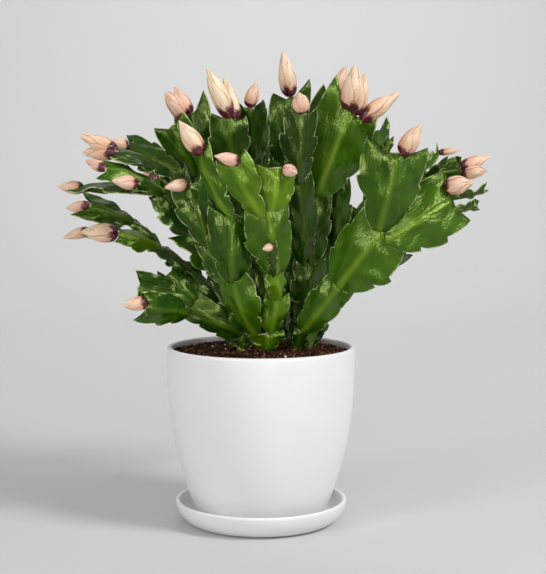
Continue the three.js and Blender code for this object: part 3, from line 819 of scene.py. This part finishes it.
# %% Perlite
foam, tree, shader = new_finish("perlite_white")
place = add_node(tree, "TexCoord").outputs["Object"]
pores = noise(tree, place, 2600, 3)
feed(tree, shader, "Base Color", ramp(tree, pores, [(0.3, 0.55, 0.52, 0.47), (0.6, 0.86, 0.85, 0.82)]))
feed(tree, shader, "Roughness", 0.8)
feed(tree, shader, "Normal", bump(tree, pores, 0.6, 0.2))

for piece, finish in ((soil, peat), (crumbs, peat), (perlite, foam)):
    piece.data.materials.append(finish)
    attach(piece, "root")
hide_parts("soil")
print("perlite nodes:", len(tree.nodes))

# %% [markdown]
# ## Pads
# A pad is a flat green blade: thick along its midrib, thin at its margins, with a few forward teeth on
# each side, two horns at the end and, between them, the cut-off tip from which the next pad or a bud grows.
# Drawing 101 outlines by hand would take days and would lose the frame's places.
# So one pad is modelled flat, as a net of rows and columns with a rounded rim, and each copy of the net is
# laid along its own outline: the teeth's corners are the frame's, and the margin between them is curved.

# %% One flat pad
# How many rows each stretch of the margin has, and how far it bulges as a share of its length
STRETCHES = [(11, 0.10), (2, 0.0), (9, 0.11), (2, 0.0), (10, 0.06), (6, -0.17)]
# How far out each column lies, from the midrib to the margin
COLUMNS = [0, 0.08, 0.18, 0.3, 0.45, 0.6, 0.74, 0.87, 0.95, 1]
rows = sum(count for count, _ in STRETCHES)
steps = len(COLUMNS) - 1

bpy.ops.object.select_all(action="DESELECT")
bpy.ops.mesh.primitive_grid_add(
    x_subdivisions=2 * steps, y_subdivisions=rows, size=2, location=(0, 0, -1)
)
flat_pad = bpy.context.object
flat_pad.name = "flat_pad"
put_at_origin(flat_pad)
open_edit(flat_pad)
for _ in range(2):
    bpy.ops.mesh.extrude_region_move(TRANSFORM_OT_translate={"value": (0, 0, 1)})
bpy.ops.mesh.select_all(action="SELECT")
bpy.ops.mesh.normals_make_consistent(inside=False)
close_edit()
bpy.ops.object.shade_smooth()

net = points_of(flat_pad)
net_column = np.rint(net[:, 0] * steps).astype(int)
net_row = np.rint((net[:, 1] + 1) / 2 * rows).astype(int)
net_side = np.rint(net[:, 2]).astype(int)
net_out = np.array(COLUMNS)[np.abs(net_column)]
print("pad net:", len(net), "points and", triangles(flat_pad), "triangles")


# %% A margin's curve
# How far a tooth's point is drawn ahead and out, in millimetres
TOOTH_AHEAD = 1.6
TOOTH_OUT = 0.5
# The places along the midrib where the rows of each stretch begin and end
RIB_STOPS = [0, 0.29, 0.335, 0.59, 0.64, 0.93, 1]


def margin_curve(pad, hand):
    """The margin of one side at every row, as t and u, with its stretches bulged or hollowed."""
    corners = margin_of(pad.number, pad.cut, hand)
    size = np.array([pad.length, pad.half])
    corners[[1, 3]] += np.array([TOOTH_AHEAD, hand * TOOTH_OUT]) * pad.cut[0] / size
    stops = [corners[:1]]
    for (count, bulge), first, last in zip(STRETCHES, corners[:-1] * size, corners[1:] * size):
        run = last - first
        outward = np.array([-run[1], run[0]]) * hand
        bend = (first + last) / 2 + 2 * bulge * outward
        share = np.linspace(0, 1, count + 1)[1:, None]
        curve = (1 - share) ** 2 * first + 2 * share * (1 - share) * bend + share**2 * last
        stops.append(curve / size)
    return np.concatenate(stops), corners


row_stops = np.cumsum([0, *[count for count, _ in STRETCHES]])
rib_rows = np.interp(np.arange(rows + 1), row_stops, RIB_STOPS)
print("rows along a pad:", rows)


# %% A blade's thickness and waves
# In millimetres: half the rim's thickness, what the blade and the midrib add, the midrib's half width
# and how far the rim is rounded
RIM_HALF = 0.36
BLADE_RISE = 0.5
RIB_RISE = 0.8
RIB_HALF = 2.1
RIM_ROUND = 0.3
# How strongly a margin waves, a pad folds along its midrib and twists, and its skin is dented
WAVE = 1.1
FOLD = 0.3
TWIST = 0.16
DENT = 1.0


def blade_swing(pad, t, across_mm, hand):
    """How far the blade leaves the solid's middle: waves, a fold, a twist and dents, no two pads alike."""
    number, along_mm = pad.number, t * pad.length
    waves = np.sin(2 * math.pi * (1.4 * t + 0.37 * number) + hand)
    waves += 0.5 * np.sin(2 * math.pi * (3.1 * t + 0.21 * number) - hand)
    swing = WAVE * waves * net_out**2 * np.clip(3 * t, 0, 1)
    folded = FOLD * (1 + 0.5 * math.sin(3.9 * number)) * np.sqrt(np.clip(4 * t * (1 - t), 0, 1))
    swing += folded * (pad.half / 2 - np.sqrt(across_mm**2 + 4))
    swing += TWIST * math.sin(2.6 * number) * across_mm * (t - 0.4)
    dents = np.sin(across_mm / 2.4 + 1.1 * number)
    dents *= np.sin(along_mm / 4.2 + 2.3 * number + across_mm / 5)
    return swing + DENT * dents * np.clip(4 * net_out, 0, 1)


print("thickest at the midrib, mm:", round(2 * (RIM_HALF + BLADE_RISE + RIB_RISE), 2))


# %% Lay the net along a pad
# How far from a tooth's point its red reaches, in millimetres
TOOTH_FLUSH = 2.2


def laid_copy(model, pad, places):
    """A copy of the model with a mesh of its own, whose points go to places in millimetres."""
    piece = model.copy()
    piece.data = model.data.copy()
    bpy.context.scene.collection.objects.link(piece)
    move_points(piece, places * MM)
    if pad.mirrored:
        piece.data.flip_normals()
    return piece


def laid_pad(name, young_and_lit):
    """A copy of the flat pad, laid on the pad's solid, with the marks that its finish reads."""
    pad = pads[name]
    curves = {hand: margin_curve(pad, hand) for hand in (-1, 1)}
    hand = np.where(net_column < 0, -1, 1)
    margin = np.where((hand > 0)[:, None], curves[1][0][net_row], curves[-1][0][net_row])
    rib_t = rib_rows[net_row]
    t = rib_t + net_out * (margin[:, 0] - rib_t)
    u = net_out * margin[:, 1]
    across_mm, along_mm = u * pad.half, t * pad.length

    ridge = np.exp(-((across_mm / RIB_HALF) ** 2)) * (1 - 0.45 * np.clip(t, 0, 1))
    half_thick = RIM_HALF + BLADE_RISE * (1 - net_out**2) + RIB_RISE * ridge
    half_thick *= np.where(net_row == rows, 0.8, 1)
    rise = blade_swing(pad, t, across_mm, hand) + net_side * half_thick

    rim = (net_side == 0).astype(float)
    at_side = rim * (net_out == 1)
    rounding = np.where(net_row == rows, RIM_ROUND, np.where(net_row == 0, -RIM_ROUND, 0))
    t = t + rim * rounding / pad.length
    u = u + at_side * hand * RIM_ROUND / pad.half
    piece = laid_copy(flat_pad, pad, pad.at(t, u, rise))

    teeth = np.concatenate([corners[[1, 3, 5]] for _, corners in curves.values()])
    teeth = teeth * [pad.length, pad.half]
    gap = np.hypot(along_mm[:, None] - teeth[:, 0], across_mm[:, None] - teeth[:, 1]).min(1)
    scar = (net_row == rows) * (net_out < 0.97)
    edge = (net_out == 1) | (net_row == rows)
    count = len(net)
    carry(piece, "skin", np.stack([across_mm, along_mm, np.full(count, 7.3 * pad.number)], 1))
    carry(piece, "mark", np.stack([ridge, edge, scar], 1))
    carry(piece, "tone", np.stack([np.full(count, young_and_lit), np.exp(-((gap / TOOTH_FLUSH) ** 2)), t], 1))
    return piece


print("pads to lay:", len(pads))


# %% How young each pad is, with painted light on the lit pads
# Young pads are yellow-green, near 1, and old ones dark, near 0. The lit pads are named, and their lighter
# green is partly the pad's age and partly painted light; the rest vary a little.
YOUTH_AND_LIGHT = {
    "f0": 0.7, "f1": 0.6, "f2": 0.35, "f3": 0.7, "f4": 0.9, "f5": 0.5, "f6": 0.75, "f7": 0.88, "f8": 0.5,
    "r0": 0.3, "r1": 0.5, "r2": 0.55, "r3": 0.42, "r4": 0.52, "t3": 0.55, "u1": 0.4, "u3": 0.3, "u5": 0.35,
    "a1": 0.35, "a2": 0.4, "a4": 0.5, "b0": 0.3, "b1": 0.35, "b2": 0.25, "b3": 0.22, "c3": 0.8, "c5": 0.35,
    "q5": 0.5,
}


def youth_and_light(name):
    return YOUTH_AND_LIGHT.get(name, 0.22 + 0.1 * math.sin(5.1 * pads[name].number))


print("the mean youth of the pads:", round(sum(map(youth_and_light, pads)) / len(pads), 2))

# %% [markdown]
# ### Feet
# Where a shoot comes out of the soil it has turned to a short round stem, brown-green and a little knotty.
# It is pulled like the pot, then bent to run from the soil into the first pad's midrib.

# %% One foot
# The height at which it begins to bend, and its rings as radius and height, in millimetres from the soil
FOOT_BEND = 4.5
FOOT_SIDES = 14
FOOT_RINGS = [
    (CLOSED, -9), (2.9, -9), (3.1, -4), (3.3, 1), (3.35, 4), (3.0, 6.2),
    (2.7, 8), (2.2, 10.5), (1.7, 13), (1.2, 16), (0.7, 18.5), (CLOSED, 20),
]
foot = pulled("foot", FOOT_RINGS, FOOT_SIDES)
print("foot triangles:", triangles(foot))


def laid_foot(shoot):
    """A copy of the foot that leaves the soil upright and leans into the first pad."""
    pad = pads[shoots[shoot][0]]
    places = points_of(foot) / MM
    up = places[:, 2]
    reach = min(1, 0.75 * pad.length / (FOOT_RINGS[-1][1] - FOOT_BEND))
    lean = np.clip(up - FOOT_BEND, 0, None) * reach
    round_angle = np.arctan2(places[:, 1], places[:, 0])
    knot = 1 + 0.1 * np.sin(1.3 * up + pad.number) + 0.06 * np.sin(3 * round_angle + up)
    flatten = 1 - 0.6 * np.clip(lean / (6 * reach), 0, 1)
    middle = np.array([*pad.base[:2], SOIL_Z]) + np.outer(np.minimum(up, FOOT_BEND), [0, 0, 1])
    middle += np.outer(lean, pad.along)
    middle += np.outer(ARCH * 4 * lean * (1 - lean / pad.length), pad.face)
    around = np.outer(places[:, 0] * knot, pad.across)
    around += np.outer(places[:, 1] * knot * flatten, pad.face)
    piece = laid_copy(foot, pad, middle + around)
    wood = np.clip(0.9 - lean / 5, 0, 1)
    count = len(places)
    carry(piece, "skin", np.stack([places[:, 0], up, np.full(count, 3.7 * pad.number)], 1))
    carry(piece, "mark", np.stack([0.5 * (1 - wood), np.zeros(count), np.zeros(count)], 1))
    carry(piece, "tone", np.stack([np.full(count, 0.4), np.zeros(count), -wood], 1))
    return piece


# %% Grow the shoots
shoot_pieces = {}
for shoot, names in shoots.items():
    grown = [laid_foot(shoot), *[laid_pad(name, youth_and_light(name)) for name in names]]
    select_only(grown[0])
    for piece in grown[1:]:
        piece.select_set(True)
    bpy.ops.object.join()
    piece = bpy.context.object
    piece.name = piece.data.name = f"pads_{shoot}"
    shoot_pieces[shoot] = piece
for model in (flat_pad, foot):
    bpy.data.objects.remove(model)
print("pad triangles in all:", sum(triangles(piece) for piece in shoot_pieces.values()))

# %% [markdown]
# ### The pads' skin
# The skin is a waxy green, dark and even on old pads, yellow-green on young ones, lighter along the midrib,
# and lighter still on the lit pads as painted light.
# A thin pale line runs along the margin, partly its own colour and partly a painted highlight on the rim,
# with a trace of red at the teeth, and the cut-off tip is felted and pale. A picture could hold all that,
# but marks carried by the mesh follow every pad at any turn.
# Broad swells and fine wrinkles that run along the pad make its gleams soft and uneven, as on the plant.

# %% The pads' green
GREENS = [
    (0.0, 0.003, 0.016, 0.001),
    (0.3, 0.010, 0.046, 0.001),
    (0.6, 0.036, 0.108, 0.001),
    (1.0, 0.100, 0.200, 0.003),
]
LIME = (0.22, 0.36, 0.02, 1)

skin, tree, shader = new_finish("pad_skin")
skin_place, _ = three_marks(tree, "skin")
_, (rib_mark, edge_mark, scar_mark) = three_marks(tree, "mark")
_, (young_and_lit_mark, tooth_mark, run_mark) = three_marks(tree, "tone")
lengthwise = add_node(tree, "Mapping", {"Vector": skin_place, "Scale": (1, 0.09, 1)}).outputs["Vector"]
mottle = noise(tree, skin_place, 0.1, 4)
streak = noise(tree, lengthwise, 1.1, 4)
# The youth mark also carries painted light: lit pads are given a lighter green and a lighter midrib.
varied = arithmetic(tree, "ADD", young_and_lit_mark, spread(tree, mottle, 0.3, 0.7, -0.12, 0.12))
varied = arithmetic(tree, "ADD", varied, spread(tree, streak, 0.3, 0.7, -0.05, 0.05))
green = ramp(tree, varied, GREENS)
on_young_and_lit = spread(tree, young_and_lit_mark, 0.25, 0.55, 0.12, 0.8)
rib_share = product(tree, spread(tree, rib_mark, 0.1, 0.8), on_young_and_lit)
green = blend_colours(tree, rib_share, green, blend_colours(tree, 0.6, green, LIME))
print("nodes of the green:", len(tree.nodes))

# %% Teeth, margin, tip and woody foot
TOOTH_RED = (0.17, 0.05, 0.012, 1)
MARGIN_PALE_AND_HIGHLIGHT = (0.50, 0.60, 0.27, 1)
TIP_FELT = (0.66, 0.60, 0.40, 1)
BARK = [(0.3, 0.04, 0.035, 0.012), (0.7, 0.10, 0.11, 0.03)]

in_patches = spread(tree, mottle, 0.45, 0.6)
red_share = product(tree, spread(tree, tooth_mark, 0.3, 1.0, 0, 0.4), in_patches)
green = blend_colours(tree, red_share, green, TOOTH_RED)
# The pale line along the margin is partly a painted highlight on the rim, broken up by a noise.
broken_highlight = spread(tree, noise(tree, skin_place, 0.22, 2), 0.42, 0.6, 0.1, 1)
rim_highlight_share = product(tree, spread(tree, edge_mark, 0.3, 0.95, 0, 0.9), broken_highlight)
green = blend_colours(tree, rim_highlight_share, green, MARGIN_PALE_AND_HIGHLIGHT)
tufts = spread(tree, noise(tree, skin_place, 1.3, 2), 0.42, 0.55)
felt_share = product(tree, spread(tree, scar_mark, 0.4, 1.0), tufts)
green = blend_colours(tree, felt_share, green, TIP_FELT)
wood_share = spread(tree, run_mark, -1.0, -0.15, 0.7, 0.0)
feed(tree, shader, "Base Color", blend_colours(tree, wood_share, green, ramp(tree, streak, BARK)))
print("nodes of the whole colour:", len(tree.nodes))

# %% Wax and relief
# The export keeps the specular level only where it is set on the shader itself, so nothing is linked to it.
stretched = add_node(tree, "Mapping", {"Vector": skin_place, "Scale": (1, 0.28, 1)}).outputs["Vector"]
swells = noise(tree, skin_place, 0.036, 1)
wrinkles = noise(tree, stretched, 0.7, 3, Roughness=0.55)
feed(tree, shader, "Normal", bump(tree, wrinkles, 1.0, 0.55, bump(tree, swells, 1.0, 4.5)))
feed(tree, shader, "Roughness", spread(tree, mottle, 0.3, 0.7, 0.16, 0.27))
feed(tree, shader, "Specular IOR Level", 0.6)
feed(tree, shader, "Specular Tint", (0.78, 1.0, 0.3, 1))

for shoot, piece in shoot_pieces.items():
    piece.data.materials.clear()
    piece.data.materials.append(skin)
    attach(piece, "root")
    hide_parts(f"shoot_{shoot}")
print("pad skin nodes:", len(tree.nodes))

# %% [markdown]
# ## Buds
# A bud is a slim spindle of overlapping petals. Short burgundy scales clasp its foot, longer peach ones
# cover the middle, and the innermost close to a point or begin to part.
# A turned spindle alone would look like a bean, so a core is pulled and one petal is modelled flat,
# and its copies are wrapped round the core in layers, each with one edge over its neighbour.

# %% The bud's core
BUD_LONG = 30
BUD_THICK = 10
CORE_SIDES = 14
# The outline: how far along the bud, and its radius there as a share of half its thickness
BUD_OUTLINE = [
    (0, 0.26), (0.04, 0.6), (0.15, 0.9), (0.32, 1.04), (0.5, 0.98), (0.68, 0.74), (0.86, 0.36), (1, 0),
]
spindle = np.array(rounded(BUD_OUTLINE, 3))


def bud_radius(s):
    """The bud's radius along its length, as a share of half its thickness."""
    return np.interp(s, spindle[:, 0], spindle[:, 1])


core_stops = np.array([0, 0.03, 0.07, 0.12, 0.18, 0.26, 0.35, 0.45, 0.56, 0.67, 0.77, 0.86, 0.93, 0.98])
core_radii = 0.9 * bud_radius(core_stops) * BUD_THICK / 2
core_rings = [(CLOSED, 0), *zip(core_radii, core_stops * BUD_LONG), (CLOSED, BUD_LONG)]
core = pulled("bud_core", core_rings, CORE_SIDES)
print("core triangles:", triangles(core))

# %% One flat petal
PETAL_WIDE = 6
PETAL_TALL = 9
bpy.ops.object.select_all(action="DESELECT")
bpy.ops.mesh.primitive_grid_add(
    x_subdivisions=PETAL_WIDE, y_subdivisions=PETAL_TALL, size=2, location=(0, 0, -1)
)
petal = bpy.context.object
petal.name = "petal"
put_at_origin(petal)
open_edit(petal)
bpy.ops.mesh.extrude_region_move(TRANSFORM_OT_translate={"value": (0, 0, 2)})
bpy.ops.mesh.select_all(action="SELECT")
bpy.ops.mesh.normals_make_consistent(inside=False)
close_edit()
bpy.ops.object.shade_smooth()
petal_net = points_of(petal)
petal_faces = [list(face.vertices) for face in petal.data.polygons]
print("petal triangles:", triangles(petal))

# %% Wrap petals round the core
# As shares of the bud's radius: how thick a petal is, how far one edge lies over its neighbour,
# how far it stands off the bud's outline and how high the keel along its middle is
PETAL_THICK = 0.05
PETAL_OVERLAP = 0.05
PETAL_OFF = 0.04
PETAL_KEEL = 0.05


def wrapped_petal(angle, start, end, half_angle, lift, parting):
    """The petal's points round a bud of length 1 and radius 1, and its own two directions."""
    a, b = petal_net[:, 0], (petal_net[:, 1] + 1) / 2
    widen = (0.35 + 0.65 * np.sin(math.pi * np.clip(b, 0, 1) ** 0.8)) * (1 - b**3) ** 0.7
    s = start + b * (end - start)
    around = angle + a * half_angle * widen
    open_out = parting * b**3
    radius = bud_radius(s) * (0.93 + lift) + PETAL_OVERLAP * a * widen + PETAL_OFF + open_out
    radius = radius * (1 - 0.25 * b**8) + PETAL_THICK / 2 * petal_net[:, 2] * (1 - 0.7 * b**4)
    radius += PETAL_KEEL * np.exp(-((a * widen / 0.18) ** 2)) * b
    height = s - 0.02 * open_out
    return np.stack([radius * np.cos(around), radius * np.sin(around), height], 1), a, b


# A layer: how many petals, where they start and end along the bud, half their angle in degrees,
# their lift and how much they part
LAYERS = [
    (5, 0.00, 0.21, 42, 0.06, 0.03),
    (5, 0.03, 0.36, 40, 0.04, 0.04),
    (4, 0.10, 0.80, 54, 0.03, 0.06),
    (4, 0.22, 1.00, 52, 0.00, 0.0),
]


def bud_shape(turn, parting):
    """All the points and faces of one bud, with the marks that its finish reads."""
    inside = points_of(core) / MM / [BUD_THICK / 2, BUD_THICK / 2, BUD_LONG]
    nothing = np.zeros(len(inside))
    points = [inside]
    faces = [list(face.vertices) for face in core.data.polygons]
    marks = [np.stack([nothing, inside[:, 2], nothing], 1)]
    total = len(inside)
    for layer, (count, start, end, wide, lift, opened) in enumerate(LAYERS):
        for k in range(count):
            angle = turn + 2 * math.pi * (k + 0.5 * layer) / count
            uneven = 0.05 * math.sin(3.3 * k + 2 * layer + turn)
            flare = opened + parting * (0.5 + 0.5 * math.sin(k + layer + turn)) * (layer > 1)
            ends = min(1.0, end + uneven * (layer < 3))
            half_angle = math.radians(wide)
            shape, sideways, onward = wrapped_petal(angle, start, ends, half_angle, lift, flare)
            points.append(shape)
            faces += [[i + total for i in face] for face in petal_faces]
            marks.append(np.stack([np.full(len(shape), (layer + 1) / 4), onward, np.abs(sideways)], 1))
            total += len(shape)
    return np.concatenate(points), faces, np.concatenate(marks)


print("petals on a bud:", sum(count for count, *_ in LAYERS))


# %% Which buds are rosy, which begin to part and which are pale
# By the number of a bud's node, from 0 to about 1, and then what all the other buds take
ROSY = {
    2: 0.3, 3: 0.4, 5: 0.25, 6: 0.9, 9: 0.3, 10: 0.8, 12: 0.6,
    14: 0.6, 16: 0.9, 17: 0.9, 18: 0.5, 22: 0.55, 24: 0.5,
}
PARTING = {5: 0.22, 10: 0.34, 11: 0.12, 19: 0.1, 22: 0.15}
PALE = {4: 0.4, 11: 0.9, 13: 0.5, 15: 0.5, 19: 0.4}
ELSE_ROSY = 0.15
ELSE_PARTING = 0.03
ELSE_PALE = 0.1
# The petals stand off the bud's outline, so the whole is made a little slimmer
SLIM = 0.97


def grown_bud(number, pad_name, buds):
    """The mesh of one node's buds, each along its own line from the pad's tip to its point."""
    pad = pads[pad_name]
    points, faces, skins, tones, marks = [], [], [], [], []
    for k, (place, across, up, depth, thick) in enumerate(buds):
        turn = 1.7 * number + 2.1 * k
        shape, shape_faces, shape_marks = bud_shape(turn, PARTING.get(number, ELSE_PARTING))
        root = pad.tip_place(place)
        point = seen(across, up, depth)
        along = point - root
        long = along.length
        along.normalize()
        sideways = along.cross(Vector((0, 1, 0))).normalized()
        basis = np.array([sideways, along.cross(sideways), along])
        half = SLIM * thick / 2
        before = sum(map(len, points))
        faces += [[i + before for i in face] for face in shape_faces]
        points.append(np.array(root) + (shape * [half, half, long]) @ basis)
        s = shape[:, 2]
        around = np.arctan2(shape[:, 1], shape[:, 0])
        skins.append(np.stack([np.cos(around) + 5 * number, np.sin(around), s], 1))
        rosy = np.full(len(s), ROSY.get(number, ELSE_ROSY))
        pale = np.full(len(s), PALE.get(number, ELSE_PALE))
        tones.append(np.stack([s, rosy, pale], 1))
        marks.append(shape_marks)
    mesh = bpy.data.meshes.new(f"bud_petals_{number:02d}")
    mesh.from_pydata((np.concatenate(points) * MM).tolist(), [], faces)
    mesh.shade_smooth()
    piece = bpy.data.objects.new(mesh.name, mesh)
    bpy.context.scene.collection.objects.link(piece)
    carry(piece, "skin", np.concatenate(skins))
    carry(piece, "tone", np.concatenate(tones))
    carry(piece, "mark", np.concatenate(marks))
    return piece


bud_pieces = [grown_bud(i + 1, pad_name, buds) for i, (pad_name, *buds) in enumerate(BUDS)]
for model in (core, petal):
    bpy.data.objects.remove(model)
print("bud triangles in all:", sum(triangles(piece) for piece in bud_pieces))

# %% [markdown]
# ### The buds' skin
# A bud is burgundy at the foot, rosy where that fades and then peach, paler to the point, with faint
# streaks along each petal and a darker line along its edge. It is matte and soft, but its scales shine.
# A picture wrapped round it would show a seam. The marks on the mesh say instead which petal a point
# is on and how far along, and the streaks are a noise pulled long, so every bud has its own.

# %% The buds' peach
PEACH = [
    (0.12, 0.520, 0.150, 0.070),
    (0.26, 0.880, 0.430, 0.220),
    (0.48, 0.980, 0.620, 0.380),
    (0.75, 1.000, 0.740, 0.500),
    (1.00, 0.980, 0.800, 0.520),
]
ROSY_PEACH = (0.90, 0.50, 0.40, 1)
PALE_PEACH = (1.00, 0.88, 0.60, 1)
STREAK_RED = (0.64, 0.28, 0.17, 1)
RIM_RED = (0.50, 0.18, 0.11, 1)

blush, tree, shader = new_finish("bud_skin")
skin_place, _ = three_marks(tree, "skin")
_, (layer_mark, onward_mark, side_mark) = three_marks(tree, "mark")
_, (s_mark, rosy_mark, pale_mark) = three_marks(tree, "tone")
streaked = add_node(tree, "Mapping", {"Vector": skin_place, "Scale": (7, 7, 1.0)}).outputs["Vector"]
streak = noise(tree, streaked, 1.9, 5)
blotch = noise(tree, skin_place, 2.6, 3)

height = arithmetic(tree, "ADD", s_mark, spread(tree, blotch, 0.3, 0.7, -0.03, 0.03))
height = arithmetic(tree, "ADD", height, spread(tree, streak, 0.3, 0.7, -0.04, 0.04))
peach = ramp(tree, height, PEACH)
rosy_patch = spread(tree, noise(tree, skin_place, 1.3, 2), 0.45, 0.65, 0, 0.3)
rosy_share = arithmetic(tree, "ADD", product(tree, rosy_mark, 0.6), rosy_patch)
peach = blend_colours(tree, rosy_share, peach, ROSY_PEACH)
peach = blend_colours(tree, product(tree, pale_mark, 0.7), peach, PALE_PEACH)
peach = blend_colours(tree, spread(tree, streak, 0.5, 0.7, 0, 0.55), peach, STREAK_RED)
peach = blend_colours(tree, spread(tree, side_mark, 0.75, 1.0, 0, 0.9), peach, RIM_RED)
print("nodes of the peach:", len(tree.nodes))

# %% Burgundy scales and the soft skin
# The outermost scales are burgundy all over, the next ones fade to peach towards their points,
# and the foot of every petal is burgundy too.
WINE = [
    (0.30, 0.030, 0.003, 0.006),
    (0.55, 0.100, 0.009, 0.018),
    (0.70, 0.340, 0.060, 0.055),
]
outer_scale = spread(tree, layer_mark, 0.27, 0.30, 1, 0)
fading = spread(tree, onward_mark, 0.5, 0.95, 1, 0)
inner_scale = product(tree, spread(tree, layer_mark, 0.52, 0.55, 1, 0), fading)
low_down = spread(tree, height, 0.10, 0.20, 1, 0)
either_scale = arithmetic(tree, "MAXIMUM", outer_scale, inner_scale)
wine_share = arithmetic(tree, "MAXIMUM", either_scale, low_down)
on_petals = spread(tree, layer_mark, 0.05, 0.2, 0, 1)
wine_share = product(tree, wine_share, on_petals)
feed(tree, shader, "Base Color", blend_colours(tree, wine_share, peach, ramp(tree, blotch, WINE)))
feed(tree, shader, "Roughness", spread(tree, wine_share, 0, 1, 0.48, 0.22))
feed(tree, shader, "Normal", bump(tree, streak, 0.5, 0.35))
feed(tree, shader, "Subsurface Weight", 0.15)
feed(tree, shader, "Subsurface Radius", (0.004, 0.0018, 0.001))
feed(tree, shader, "Subsurface Scale", 1)

for number, piece in enumerate(bud_pieces, 1):
    piece.data.materials.append(blush)
    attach(piece, "root")
    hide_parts(f"bud_{number:02d}")
print("bud skin nodes:", len(tree.nodes))
